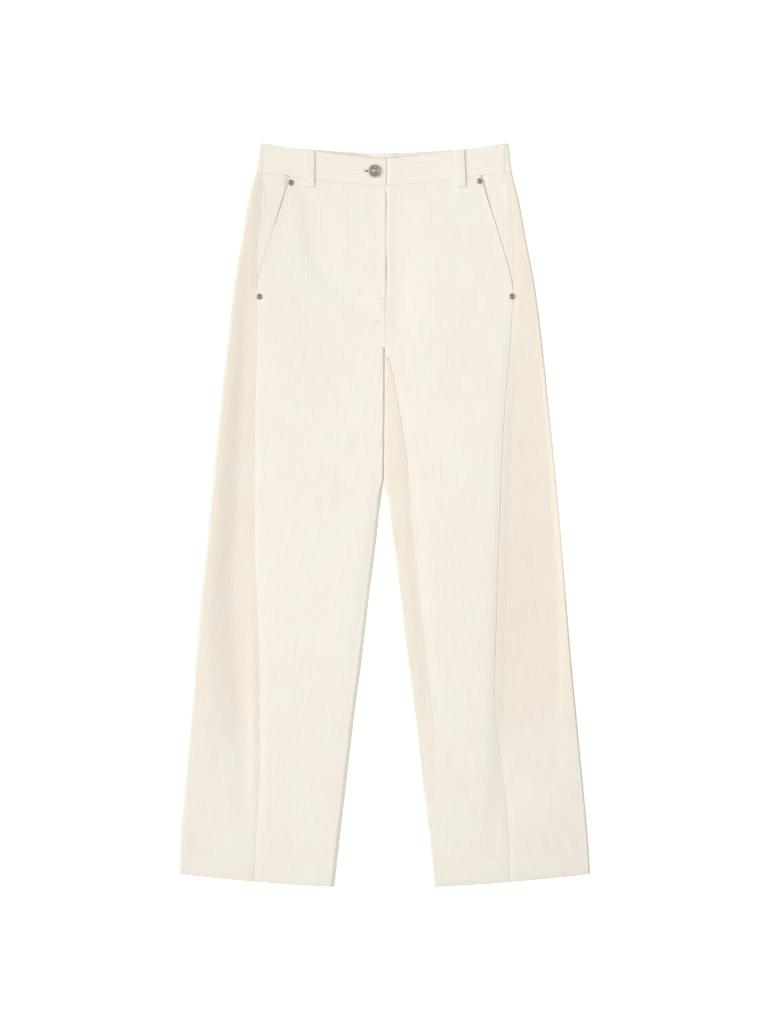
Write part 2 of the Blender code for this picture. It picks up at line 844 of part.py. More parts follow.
def make_front_loop(side):
    """A belt loop over the band, held at its two ends."""
    top_x, bottom_x = FRONT_LOOPS[side]
    top, bottom = float(front_top(top_x)), float(waist_seam(bottom_x)) - LOOP_BELOW_SEAM
    columns = []
    for station in np.linspace(0, 1, LOOP_STATIONS):
        y = top + (bottom - top) * station
        middle = top_x + (bottom_x - top_x) * station
        arch = LOOP_ARCH * math.sin(math.pi * station)
        base = top_height(middle, y) + BAND_PROUD + RIB + LOOP_CLEARANCE + arch
        outside, inside = ([], []), ([], [])
        for key in range(LOOP_RIBS + 1):
            x = middle + LOOP_WIDTH * (key / LOOP_RIBS - 0.5)
            outside[0].append(key)
            outside[1].append((x, y, base + LOOP_WALL + RIB * (key % 2)))
            if key in (0, LOOP_RIBS):
                inside[0].append(key)
                inside[1].append((x, y, base))
        columns.append((outside, inside))
    name = f"belt_loop_front_{side}"
    wall(name, columns, corduroy(name))


def make_back_loop(name, x):
    """A belt loop under the back, pressed flat by the trousers' weight."""
    top, bottom = float(back_top(x)), float(back_seam(x)) - LOOP_BELOW_SEAM
    columns = []
    for y in np.linspace(top, bottom, 3):
        sides = (x - LOOP_WIDTH / 2, x + LOOP_WIDTH / 2)
        outside = ([0, 1], [(side, y, 0) for side in sides])
        inside = ([0, 1], [(side, y, LOOP_WALL) for side in sides])
        columns.append((outside, inside))
    wall(name, columns, corduroy(name))


def make_fly_strip(name, left, right, drop, thickness):
    """A flat strip behind the fly, a drop below the top layer."""
    columns = []
    for y in np.linspace(FLY_END_Y + FLY_STRIP_ABOVE, PANEL_ROWS[0] - 1, FLY_STRIP_ROWS):
        outside, inside = ([], []), ([], [])
        for key, x in enumerate(np.linspace(left, right, 4)):
            z = top_height(x, y) - drop
            outside[0].append(key)
            outside[1].append((x, y, z))
            inside[0].append(key)
            inside[1].append((x, y, z - thickness))
        columns.append((outside, inside))
    wall(name, columns, corduroy(name))


def turned(name, profile, sides, place, material):
    """A round piece, from a table of radius and height that starts and ends on its axis."""
    points, rings = [], []
    for radius, height in zip(profile["radius"], profile["height"]):
        ring = []
        for turn in range(sides if radius > 0 else 1):
            angle = 2 * math.pi * turn / sides
            ring.append(len(points))
            x, y = radius * math.cos(angle), radius * math.sin(angle)
            points.append((place[0] + x, place[1] + y, place[2] + height))
        rings.append(ring)
    faces = []
    for lower, upper in zip(rings, rings[1:]):
        for turn in range(sides):
            after = (turn + 1) % sides
            corners = [lower[turn % len(lower)], lower[after % len(lower)]]
            corners += [upper[after % len(upper)], upper[turn % len(upper)]]
            faces.append(tuple(dict.fromkeys(corners)))
    return mesh_object(name, points, faces, material)


def make_button():
    """A round metal button whose shank passes through the buttonhole to the underlap."""
    cloth = top_height(BUTTON_X, BUTTON_Y) + BAND_PROUD
    underlap = -(BAND_WALL + RIB + SEAM_GAP)
    seat = RIB + SEAM_GAP
    profile = table(
        "radius height",
        (0, underlap + SEAM_GAP),
        (SHANK_RADIUS, underlap + SEAM_GAP),
        (SHANK_RADIUS, seat + 0.2),
        (BUTTON_RADIUS - 1.2, seat),
        (BUTTON_RADIUS, seat + 0.8),
        (BUTTON_RADIUS, seat + 1.9),
        (BUTTON_RADIUS - 0.8, seat + 2.6),
        (BUTTON_RADIUS - 1.7, seat + 2.6),
        (BUTTON_RADIUS - 2.4, seat + 2.0),
        (BUTTON_RADIUS - 5.2, seat + 1.9),
        (BUTTON_RADIUS - 5.8, seat + 2.4),
        (0, seat + 2.5),
    )
    turned("button", profile, BUTTON_SIDES, (BUTTON_X, BUTTON_Y, cloth), silver("button"))


def make_rivet(name, x, y):
    """A small domed rivet with a dimple."""
    profile = table(
        "radius height",
        (0, 0),
        (RIVET_RADIUS, 0),
        (RIVET_RADIUS, 0.5),
        (RIVET_RADIUS - 1.0, 1.3),
        (RIVET_RADIUS - 1.9, 1.3),
        (RIVET_RADIUS - 2.5, 0.8),
        (0, 0.9),
    )
    seat = top_height(x, y) + RIB + SEAM_GAP
    turned(name, profile, RIVET_SIDES, (x, y, seat), silver(name))


def make_panels():
    for side in SIGN:
        rows = [front_row(side, level) for level in PANEL_ROWS]
        wall(f"front_{side}", rows, corduroy(f"front_{side}"))
        rows = [back_row(side, level) for level in PANEL_ROWS]
        wall(f"back_{side}", rows, corduroy(f"back_{side}"))
        rows = [facing_row(side, level) for level in RISE_ROWS]
        wall(f"pocket_facing_{side}", rows, corduroy(f"pocket_facing_{side}"))


def clear_scene():
    for item in list(bpy.data.objects):
        bpy.data.objects.remove(item, do_unlink=True)


def main():
    clear_scene()
    make_panels()
    make_front_bands()
    make_back_band()
    for side in SIGN:
        make_front_loop(side)
    make_back_loop("belt_loop_back_right", -BACK_LOOP_OUT)
    make_back_loop("belt_loop_back_centre", 0.0)
    make_back_loop("belt_loop_back_left", BACK_LOOP_OUT)
    make_fly_strip("fly_zip", left=-12.0, right=12.0, drop=1.6, thickness=1.0)
    make_fly_strip("fly_underlap", left=-30.0, right=22.0, drop=2.9, thickness=1.2)
    make_button()
    for name, (x, y) in RIVETS.items():
        make_rivet(name, x, y)


main()
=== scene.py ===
"""The looks of a pair of cream corduroy trousers that lie flat on their back.

Sizes are in millimetres and become metres when a mesh is made. +Y points to the waist and +Z is up.
Sides are the wearer's, so the right leg lies at -X. Most functions work on one side, where "out" is the
distance from the centre line. Cloth is a closed thin wall between rows of points that run across it,
each at a path, the distance along the cloth, so that it can turn round the rolled sides of a leg.
"""

import math
from collections import namedtuple

import bpy
import numpy as np
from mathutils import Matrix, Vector


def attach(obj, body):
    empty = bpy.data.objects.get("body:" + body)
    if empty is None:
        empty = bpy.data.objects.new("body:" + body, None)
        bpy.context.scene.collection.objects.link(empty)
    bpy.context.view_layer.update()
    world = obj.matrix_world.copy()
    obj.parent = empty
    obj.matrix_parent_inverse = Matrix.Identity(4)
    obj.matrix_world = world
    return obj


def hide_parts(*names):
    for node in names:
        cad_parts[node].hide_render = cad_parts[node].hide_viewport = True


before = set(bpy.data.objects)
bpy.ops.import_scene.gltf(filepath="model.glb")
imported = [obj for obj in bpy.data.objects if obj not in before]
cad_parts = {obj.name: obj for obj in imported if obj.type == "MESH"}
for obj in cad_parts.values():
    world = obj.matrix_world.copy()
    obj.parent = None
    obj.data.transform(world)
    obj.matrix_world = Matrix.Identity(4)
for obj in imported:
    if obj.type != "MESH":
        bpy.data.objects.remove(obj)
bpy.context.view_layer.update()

MM = 0.001
SIGN = {"right": -1, "left": 1}

# ---------------- sizes of the trousers

SEAM_GAP = 0.3
CLOTH = 1.1
PITCH = 3.24  # from rib to rib, 8 to the inch
RIB = 0.55
RIB_ROUNDNESS = 2.6
ROLL = 5.2
CROWN = 1.2
UNDER_TURN = 2.1  # past this angle round a roll, the ribs press flat into the cloth
UNDER_SPAN = 0.8
UNDER_FADE = 18.0  # the creases under a leg fade out this far from its rolls

WAIST_Y = 461.3
CROTCH_Y = 239.4
CROTCH_GROWTH = 13.0
HEM_DEPTH = 34.0
HEM_WALL = 2.4
HEM_INNER_Y = -520.8
HEM_OUTER_Y = -502.5
HEM_BOW = 1.8
HEM_OUT = (69.0, 288.0)

BAND_WALL = 2.6
BAND_PROUD = 0.4
BAND_SINK = 3.45  # how far the underlap lies below the overlap
BUTTON_PULL = (-22.0, 6.0, 1.5)  # and how much further beside the button: the middle, width and depth
BAND_RIBS = 12
BAND_DEPTH = 42.0
BAND_SEAM_OUT = 169.4
BAND_LOW_Y = 479.0
BAND_HIGH_Y = 520.8
BAND_LAP = 3.5
LAP_SLOPE = 1.4
UNDERLAP = 32.0

FLY_LAP = 1.8
FLY_END_Y = 300.0
FLY_BLEND = 8.0
SEAM_TROUGH = 0.5
TROUGH_WIDTH = 6.0
TROUGH_FADE = 20.0
FACING_DROP = 1.8
FACING_HIDDEN = 24.0
FACING_CLOSED = {"right": 0.1, "left": 1.0}  # how far it fills the lower part of the pocket's mouth
FACING_CLOSED_Y = {"right": 400.0, "left": 450.0}
FACING_CLOSED_FADE = 40.0
FACING_LIP = 0.1  # from the mouth's edge outwards, the facing starts to climb here
FACING_CLIMB = 0.6  # and climbs over this share of what shows, but within these widths
FACING_CLIMB_WIDTH = (0.6, 1.3)
FACING_MEETS = (2.0, 7.0)  # beside the waistband it starts to meet the front here, over this width
FACING_RIBS = 1.2  # its ribs grow over this width
HELD_BELOW = 4.0  # the waist seam holds the layers together from this far below it
HELD_FADE = 12.0
HELD_SHUT = 0.6
POCKET_SEAM = {"right": 1.3, "left": 0.6}  # the depth of the side seam beside a pocket
PRESS = 3.0  # how squarely the inner rolls press on each other below the crotch
PRESS_END_Y = 34.0
PRESS_FADE = 24.0
SIDE_SQUARE = {"right": 0.9, "left": 2.8}  # how square the rolls at the sides are
LEG_SQUARE = {"right": -0.25, "left": 2.2}  # and those between the legs, where they don't press
MOUTH_DEPTH = {"right": 2.3, "left": 0.0}  # how far a facing dives under the front at its pocket's mouth
MOUTH_WIDTH = {"right": 1.3, "left": 4.5}
MOUTH_LIFT = 0.5
MOUTH_REACH = 4.5
POCKET_END_Y = 316.0
POCKET_BLEND = 25.0  # the side seam changes its depth over this height beside the pocket's end
POCKET_EARLY = 0.4  # and starts this share of it below that end
OPEN_LOW = 0.25  # how wide the lower part of a pocket's mouth stands open, as a share of the upper
OPEN_LOW_FADE = 20.0
OPEN_HIGH_Y = 380.0
OPEN_HIGH_FADE = 50.0

LOOP_WIDTH = 12.8
LOOP_WALL = 1.6
LOOP_ARCH = 0.2
LOOP_CLEARANCE = 0.12
LOOP_BELOW_SEAM = 12.5
FRONT_LOOPS = {"right": (-103.7, -103.7), "left": (106.0, 108.4)}
BACK_LOOP_OUT = 104.0
BACK_LOOPS = {"right": -BACK_LOOP_OUT, "centre": 0.0, "left": BACK_LOOP_OUT}
BACK_LIFT = 2.15
LIFT_FLAT = 10.5
LIFT_FADE = 12.0
LIFT_ROWS_Y = (418.0, 386.0)

BUTTON = (-13.2, 481.2)
BUTTON_RADIUS = 8.8
SHANK_RADIUS = 2.4
EYELET_RADIUS = 3.1
SLIT_LENGTH = 14.4
SLIT_WIDTH = 1.1
GAPE = (8.4, 4.2, 1.4)  # where the button pulls the slit open: its middle, half length and half width
RIVET_RADIUS = 4.1
RIVETS = {
    "rivet_right_upper": (-130.2, 464.8),
    "rivet_right_lower": (-174.3, 305.5),
    "rivet_left_upper": (133.8, 466.9),
    "rivet_left_lower": (179.0, 305.8),
}


def table(names, *rows):
    """Rows of numbers as named columns."""
    return dict(zip(names.split(), np.array(rows, float).T))


def crease(*rows):
    """A fold's path, how far it rises and how soon it fades inwards and outwards."""
    return table("y out rise inner outer", *rows)


OUTER_EDGE = table(
    "y right left",
    (521, 175, 175),
    (479, 181.5, 179.6),
    (440, 191, 189),
    (385, 200.2, 199),
    (322, 211, 211),
    (245, 219.9, 221),
    (161, 229.5, 229.5),
    (77, 238, 238),
    (-35, 249, 248),
    (-119, 257.5, 255),
    (-203, 264.6, 262),
    (-287, 271.6, 270),
    (-371, 279.4, 278),
    (-455, 286.8, 285.6),
    (-500, 288.4, 288.4),
)
INNER_EDGE = table(
    "y right left",
    (245, -0.3, 0.6),
    (160, -0.3, 0.6),
    (110, 0.3, 0),
    (49, 0.8, -0.5),
    (21, 4.2, 5),
    (-35, 10.5, 11.8),
    (-119, 21, 22.5),
    (-203, 30.8, 32.2),
    (-287, 42, 43.2),
    (-371, 51.8, 51.8),
    (-455, 61.6, 62.6),
    (-521, 69, 69.6),
)
SIDE_SEAM = table(
    "y right left",
    (479, 169.4, 170.8),
    (441, 171.5, 175),
    (410, 173.6, 178.5),
    (371, 177.2, 179.8),
    (316, 178.5, 180.2),
    (245, 177.8, 177),
    (161, 180.6, 170),
    (77, 181.5, 165.2),
    (-35, 181.8, 161.2),
    (-168, 176.5, 156.8),
    (-259, 174.5, 154),
    (-315, 174.5, 159.6),
    (-399, 177, 170.5),
    (-455, 179.5, 174),
    (-521, 183, 176),
)
POCKET_MOUTH = table(
    "y right left",
    (476, 130.6, 135.4),
    (441, 141, 145.3),
    (400, 154.4, 158.4),
    (357, 168, 171.2),
    (333, 175.2, 177.5),
    (316, 178.5, 180.2),
)
INSEAM = table(  # its distance along the cloth, outwards from the start of the inner roll
    "y right left",
    (245, -12.2, -12),
    (236, -12.2, -10),
    (230, -12.2, -5),
    (222, -12.2, -0.5),
    (175, -12.2, 10.3),
    (119, -12.2, 20),
    (56, -12.2, 28.5),
    (-14, -12.2, 24.7),
    (-154, -12.2, 21.3),
    (-273, -12.2, 20),
    (-400, -12.2, 8),
    (-450, -12.2, -2),
    (-521, -12.2, -10),
)
GRAIN = table(  # how far the grain of each front has moved outwards at a height
    "y right left",
    (479, 0, 0),
    (240, 0, 0),
    (-50, 22.8, 5.6),
    (-521, 78, 41),
)
WAIST_SEAM = table(
    "out y",
    (0, 461.3),
    (57, 464.6),
    (90, 468.4),
    (113, 471.8),
    (143, 475.8),
    (180, 479),
)
FRONT_TOP = table(
    "out y",
    (0, 498.3),
    (18, 499.5),
    (45, 502.9),
    (64, 505),
    (100, 510),
    (132, 514.2),
    (156, 519),
    (170, 520.8),
)
BACK_TOP = table(
    "out y",
    (0, 507.5),
    (56, 509.6),
    (100, 512.4),
    (134, 515.4),
    (157, 519.4),
    (170, 520.8),
)

# The creases and rolls that the top layer lies in, each from the waist down. A crease fades over one
# width towards the centre line and over another towards the side.
RIGHT_FOLDS = (
    crease(  # valley beside the side roll
        (420, 184, 0, 12, 8),
        (287, 191, -1.6, 20, 10),
        (193, 196, -3, 30, 12),
        (73, 200.5, -4.2, 42, 15),
        (17, 203, -4.7, 46, 17),
        (-115, 209, -5, 46, 18),
        (-171, 207, -4.8, 42, 19),
        (-255, 200.5, -3.8, 34, 19),
        (-357, 193, -2.2, 24, 18),
        (-480, 188, 0, 16, 14),
    ),
    crease(  # puffed cloth between that valley and the edge
        (260, 208, 0, 8, 8),
        (77, 227, 0.9, 8, 8),
        (-133, 243, 1.1, 10, 9),
        (-273, 246, 1.2, 17, 17),
        (-420, 250, 0, 20, 20),
    ),
    crease(  # ridge just outside the side seam
        (-140, 186, 0, 6, 6),
        (-225, 182.5, 1, 6.5, 6.5),
        (-340, 182.5, 1.1, 6.5, 6.5),
        (-440, 185, 0, 6, 6),
    ),
    crease(  # soft crease that swings from the hip to the fly
        (465, 108, 0, 20, 10),
        (440, 106, -1.5, 34, 12),
        (399, 101.5, -2.2, 40, 14),
        (353, 91.6, -2.4, 40, 16),
        (322, 71, -2.2, 34, 17),
        (303, 49.6, -1.7, 26, 17),
        (272, 16.8, 0, 14, 16),
    ),
    crease(  # the cloth falls towards the roll between the legs
        (70, 6.5, 0, 8, 8),
        (10, 9.8, -1.2, 8, 8),
        (-50, 17, -1.6, 8, 9),
        (-119, 26, -1.6, 8, 10),
        (-203, 36, -1.2, 9, 12),
        (-330, 52, -0.9, 9, 14),
        (-455, 67, -0.5, 10, 16),
        (-521, 74, -0.3, 10, 16),
    ),
    crease(  # the fly's edge stands up a little
        (458, -1.8, 0, 6, 7),
        (440, -1.8, 0.8, 6, 8),
        (380, -1.8, 0.5, 6, 8),
        (340, -1.8, 0.9, 6, 9),
        (300, -1.8, 0.3, 6, 7),
        (280, -1.8, 0, 6, 7),
    ),
)
LEFT_FOLDS = (
    crease(  # the cloth drops along the side seam
        (290, 186, 0, 7, 10),
        (190, 184, -1, 9, 30),
        (62, 179, -1.5, 11, 50),
        (-70, 175, -1.8, 14, 60),
        (-171, 171.5, -2.3, 15, 60),
        (-255, 171, -2.6, 16, 56),
        (-330, 168, -2.2, 17, 46),
        (-431, 160, -1.2, 16, 40),
        (-500, 154, 0, 13, 30),
    ),
    crease(  # from there it falls slowly to a valley beside the side roll
        (300, 210, 0, 20, 8),
        (182, 219.2, -1.6, 36, 9),
        (77, 228, -2.4, 50, 10),
        (-28, 235.4, -2.8, 60, 11),
        (-115, 240, -2.8, 62, 12),
        (-207, 240, -2.4, 62, 14),
        (-300, 238, -1.6, 56, 18),
        (-420, 234, 0, 46, 18),
    ),
    crease(  # valley outside the inner roll
        (236, 3, 0, 6, 6),
        (175, 17, -0.4, 7, 9),
        (119, 26, -0.7, 8, 11),
        (56, 35.5, -0.9, 8.5, 12),
        (-84, 45.5, -1, 9, 13),
        (-224, 60.8, -1, 10, 14),
        (-320, 72, 0, 12, 14),
    ),
    crease(  # fullness beside the fly
        (460, 62, 0, 26, 26),
        (350, 62, 0.5, 24, 30),
        (230, 62, 0.4, 24, 30),
        (100, 80, 0, 30, 30),
    ),
    crease(  # step down from the edge of the fly
        (460, 1, 0, 4, 4),
        (446, 1, -1.8, 4, 4),
        (428, 1, -1.4, 4, 4),
        (400, 1, -0.7, 4, 3.5),
        (375, 1, -0.8, 4, 3.5),
        (352, 1, -1.7, 4, 4),
        (335, 1, -1.4, 4, 4),
        (312, 1, -0.8, 4, 4),
        (290, 1, 0, 4, 4),
    ),
    crease(  # hollow beside it
        (459, 17, 0, 9, 18),
        (430, 18.5, -1, 11, 24),
        (330, 19, -1.3, 12, 28),
        (262, 17, -1, 11, 24),
        (226, 15, 0, 9, 18),
    ),
)
FOLDS = {"right": RIGHT_FOLDS, "left": LEFT_FOLDS}

# Creases under each leg, where the back doesn't touch the floor: how high the cloth stands off it.
RIGHT_BACK_FOLDS = (
    crease(  # from the seat towards the side
        (330, 28, 0, 10, 10),
        (300, 44, 1.1, 12, 9),
        (262, 72, 1.4, 14, 10),
        (236, 104, 0.7, 12, 9),
        (222, 128, 0, 10, 8),
    ),
    crease(  # long soft trough behind the knee
        (70, 118, 0, 9, 12),
        (-10, 126, 1.2, 12, 16),
        (-120, 139, 1.6, 15, 18),
        (-260, 150, 0.9, 16, 14),
        (-390, 158, 0, 12, 12),
    ),
    crease(  # short crease inside it
        (-40, 60, 0, 8, 8),
        (-92, 74, 0.9, 9, 11),
        (-150, 82, 0.6, 8, 10),
        (-205, 96, 0, 8, 8),
    ),
)
LEFT_BACK_FOLDS = (
    crease(  # from the seat towards the side
        (352, 34, 0, 10, 10),
        (318, 56, 0.8, 11, 10),
        (290, 86, 1.3, 13, 11),
        (268, 118, 0.9, 12, 10),
        (258, 144, 0, 9, 8),
    ),
    crease(  # long soft trough behind the knee
        (120, 104, 0, 11, 9),
        (30, 116, 1, 15, 12),
        (-84, 122, 1.5, 17, 15),
        (-196, 137, 1.2, 13, 16),
        (-330, 149, 0, 12, 12),
    ),
    crease(  # short crease near the hem
        (-250, 196, 0, 8, 8),
        (-318, 190, 1.1, 10, 9),
        (-402, 198, 0.7, 9, 11),
        (-470, 204, 0, 8, 8),
    ),
)
BACK_FOLDS = {"right": RIGHT_BACK_FOLDS, "left": LEFT_BACK_FOLDS}

# ---------------- how finely the cloth is made

COLUMN = PITCH / 4  # from column to column across the ribs
INSIDE_STEP = 6  # the plain inside has a point at every sixth column
SEWN_GAP = 0.05  # what is left between two pieces at a seam
SHARP_ANGLE = 80.0
WAIST_RADIUS = 0.4  # the cloth rounds down into the waist seam over this distance
CENTRE_RADIUS = 0.3  # and into the seam below the fly
EDGE_RADIUS = 0.9  # a free edge that is turned under rounds off over this one
HEM_RADIUS = 1.6  # and a thick one, the hem or the top of the waistband, over this one
MOUTH_RADIUS = {"right": 0.6, "left": 0.12}  # the lower part of a pocket's mouth is sharper
MOUTH_ROUND_Y = 405.0
MOUTH_ROUND_FADE = 40.0
PILE_PRESS = 0.45  # where the cloth is this much lower, its pile is pressed flat
EDGE_COLUMNS = (0.0, 0.12, 0.45, 1.0)  # where the round edge has points, as shares of its radius
EDGE_KEY = 100000
SETTLE_STEPS = 6
PANEL_STEPS = table(  # from row to row of a panel, by height
    "y step",
    (WAIST_Y, 4),
    (262, 4),
    (248, 2),
    (215, 2),
    (200, 7),
    (-474, 7),
)
FIRST_ROW = 2.0
FACING_STEP = 4.0
STITCH_ROWS = (4.0, 1.6, 0.8, 0.0, -0.8, -1.6, -4.0)  # rows beside the hem's stitching
HEM_ROWS = (-12.0, -21.0)  # and between it and the hem's edge
HEM_PULL = (0.28, 1.5)  # how deep the stitching pulls the cloth in, over which width
EDGE_MARGIN = 0.4  # the columns keep this share of their distance from a round edge
SOFT_PILE = 0.82  # light scatters in the pile, so ribs shade this much softer than their form
SIDE_RADIUS = table(  # how widely a panel rounds down into its side seam: a sharp crease or hardly any
    "y right left",
    (479, 0.3, 0.1),
    (330, 0.25, 0.12),
    (312, 0.3, 0.4),
    (273, 0.12, 0.55),
    (217, 0.12, 0.8),
    (-175, 0.1, 0.8),
    (-273, 0.15, 0.6),
    (-330, 0.35, 0.35),
    (-521, 0.45, 0.4),
)
INSEAM_RADIUS = table(
    "y right left",
    (245, 0.2, 0.8),
    (91, 0.2, 0.6),
    (27, 0.2, 0.2),
    (-50, 0.2, 0.08),
    (-521, 0.2, 0.08),
)

# ---------------- how it is shown: places and lengths in metres, angles in degrees

CAMERA_HEIGHT = 4.0
VIEW_LENGTH = 1.4336  # how much of the floor the long side of the view takes in
VIEW_MIDDLE_Y = 0.0042
MIDDLE_Z = 0.008
SENSOR = 36.0  # in millimetres
SKY_STRENGTH = 0.35
FLOOR_GLOW = 0.5
FLOOR_SIZE = 12.0
FLOOR_Z = -0.0006
SUNS = (  # soft lights: where each comes from, its strength and its spread
    ((-0.85, 0.12, 0.7), 2.08, 45.0),
    ((1.0, 0.0, 0.2), 0.5, 40.0),
)
STRIP_LIGHT_AT = (0.0, 0.1, 0.9)  # a long soft box hangs over the trousers, turned a little
STRIP_LIGHT_SIZE = (0.3, 2.1)
STRIP_LIGHT_TURN = -12.0
STRIP_LIGHT_WATTS = 4.9

# ---------------- curves and surfaces


def smooth(levels, values, at):
    """A smooth curve through a table's points that never swings past them."""
    order = np.argsort(levels)
    levels, values = levels[order], values[order]
    step = np.diff(levels)
    slope = np.diff(values) / step
    product = slope[:-1] * slope[1:]
    mean = np.where(product > 0, 2 * product / np.where(product > 0, slope[:-1] + slope[1:], 1), 0)
    tangent = np.concatenate([slope[:1], mean, slope[-1:]])
    i = np.clip(np.searchsorted(levels, at) - 1, 0, len(step) - 1)
    t = np.clip((at - levels[i]) / step[i], 0, 1)
    start = values[i] * (1 + 2 * t) * (1 - t) ** 2 + values[i + 1] * t * t * (3 - 2 * t)
    return start + step[i] * (tangent[i] * t * (1 - t) ** 2 - tangent[i + 1] * t * t * (1 - t))


def read(chart, column, at):
    """A table's column as a smooth curve over its first one."""
    return smooth(next(iter(chart.values())), chart[column], at)


def ease(t):
    """A soft step from 0 to 1."""
    t = np.clip(t, 0, 1)
    return t * t * (3 - 2 * t)


def bell(distance, width):
    """A soft bump, 1 in its middle."""
    return np.exp(-((distance / width) ** 2))


def waist_seam(out):
    return read(WAIST_SEAM, "y", np.abs(out))


def front_top(out):
    return read(FRONT_TOP, "y", np.abs(out))


def back_top(out):
    return read(BACK_TOP, "y", np.abs(out))


def back_seam(out):
    return back_top(out) - BAND_DEPTH


def hem(out):
    t = np.clip((out - HEM_OUT[0]) / (HEM_OUT[1] - HEM_OUT[0]), 0, 1)
    return HEM_INNER_Y + (HEM_OUTER_Y - HEM_INNER_Y) * t - 4 * HEM_BOW * t * (1 - t)


def outer_edge(side, y):
    return read(OUTER_EDGE, side, y) - RIB


def below_crotch(y):
    return ease((CROTCH_Y - y) / CROTCH_GROWTH)


def front_centre(y):
    """The line where the fronts meet, which the fly moves past the centre."""
    return FLY_LAP * ease((y - FLY_END_Y) / FLY_BLEND)


def inner_edge(side, y, centre):
    """The edge beside the other leg or, above the crotch, the centre seam."""
    seam = SIGN[side] * centre + SEAM_GAP / 2
    leg = read(INNER_EDGE, side, y) + RIB
    return seam + (leg - seam) * below_crotch(y)


def inner_start(side, y, centre):
    """Where the top layer starts to turn down round the inside of the leg."""
    turn = np.minimum(math.pi * below_crotch(y), math.pi / 2)
    return inner_edge(side, y, centre) + ROLL * np.sin(turn)


def folded(folds, out, y):
    """The height that a set of folds gives the cloth."""
    height = np.zeros(np.shape(out + y))
    for fold in folds:
        line, rise, inner, outer = (read(fold, part, y) for part in ("out", "rise", "inner", "outer"))
        height = height + rise * bell(out - line, np.where(out < line, inner, outer))
    return height


def relief(side, out, y):
    """The height of the top layer above the tops of the rolls."""
    crown = CROWN + folded(FOLDS[side], out, y)
    at_side = ease((outer_edge(side, y) - out) / ROLL * (1 + SIDE_SQUARE[side]))
    at_leg = ease(((out - inner_start(side, y, 0)) / ROLL + 1) * (1 + pressed(side, y)))
    return crown * at_side * at_leg


def side_seam(side, y):
    return read(SIDE_SEAM, side, y)


def pocket_mouth(side, y):
    return read(POCKET_MOUTH, side, y)


def front_outer(side, y):
    """The outer edge of a front: its pocket's mouth, then the side seam."""
    seam = side_seam(side, y)
    return np.where(y > POCKET_END_Y, np.minimum(pocket_mouth(side, y), seam), seam)


def inseam(side, y):
    return read(INSEAM, side, y)


def grain(side, level):
    return read(GRAIN, side, level)


def seam_trough(side, out, y, depth):
    return depth * bell(out - side_seam(side, y), TROUGH_WIDTH)


def back_lift(x, y):
    """The back rises over its belt loops, which lie between it and the floor."""
    lift = 0
    for centre in BACK_LOOPS.values():
        lift = np.maximum(lift, ease((LIFT_FLAT + LIFT_FADE - np.abs(x - centre)) / LIFT_FADE))
    return BACK_LIFT * lift * ease((y - LIFT_ROWS_Y[1]) / (LIFT_ROWS_Y[0] - LIFT_ROWS_Y[1]))


def rolled(turn, square):
    """The sine and cosine of a turn round a roll. Where legs press together the roll squares off."""
    power = 1 / (1 + square)
    cosine = np.cos(turn)
    return np.sin(turn) ** power, np.sign(cosine) * np.abs(cosine) ** power


def pressed(side, y):
    """How square a leg's inner roll is at a height."""
    free = LEG_SQUARE[side]
    return free + (PRESS - free) * ease((y - PRESS_END_Y) / PRESS_FADE)


def front_place(side, path, y, rise):
    """Where a front lies: its distance out and its height."""
    start = inner_start(side, y, front_centre(y))
    turn = np.clip((start - path) / ROLL, 0, math.pi)
    radius = ROLL + rise
    across, up = rolled(turn, pressed(side, y))
    out = np.where(turn > 0, start - radius * across, path)
    trough = seam_trough(side, out, y, SEAM_TROUGH * ease((POCKET_END_Y - y) / TROUGH_FADE))
    mouth = bell(out - pocket_mouth(side, y), MOUTH_REACH)
    trough = trough - MOUTH_LIFT * pocket_open(y) * mouth
    bumps = np.where(turn < math.pi / 2, relief(side, out, y) - trough, 0)
    return out, ROLL + radius * up + bumps


def beside_band(y):
    """How close a place is to the waist seam, where all layers are sewn together."""
    return ease((y - WAIST_Y + HELD_BELOW) / HELD_FADE)


def pocket_open(y):
    """How far the pocket's mouth stands open at a height: widest near its upper end."""
    low = OPEN_LOW * ease((y - POCKET_END_Y) / OPEN_LOW_FADE)
    high = (1 - OPEN_LOW) * ease((y - OPEN_HIGH_Y) / OPEN_HIGH_FADE)
    return (low + high) * (1 - HELD_SHUT * beside_band(y))


def seam_depth(side, y):
    """How deep the side seam lies at a height."""
    beside_pocket = ease((y - POCKET_END_Y) / POCKET_BLEND + POCKET_EARLY) * (1 - beside_band(y))
    return SEAM_TROUGH + (POCKET_SEAM[side] - SEAM_TROUGH) * beside_pocket


def facing_place(side, path, y, rise):
    """Where a pocket facing lies: below the front, lowest beside the pocket's mouth."""
    mouth = pocket_mouth(side, y)
    beyond = path - mouth
    climb = np.clip(FACING_CLIMB * (side_seam(side, y) - mouth), *FACING_CLIMB_WIDTH)
    shown = ease((beyond - FACING_LIP) / climb)
    closed = FACING_CLOSED[side] * ease((FACING_CLOSED_Y[side] - y) / FACING_CLOSED_FADE)
    meets = np.maximum(ease((beyond - FACING_MEETS[0]) / FACING_MEETS[1]) * beside_band(y), shown * closed)
    drop = FACING_DROP * (1 - meets)
    drop = drop + (seam_depth(side, y) - drop) * shown * seam_trough(side, path, y, 1)
    hollow = MOUTH_DEPTH[side] * pocket_open(y) * bell(beyond, MOUTH_WIDTH[side])
    return path, 2 * ROLL + rise + relief(side, path, y) - drop - hollow


def back_under(side, y):
    """The length of a back's flat underside."""
    return outer_edge(side, y) - ROLL - inner_start(side, y, 0)


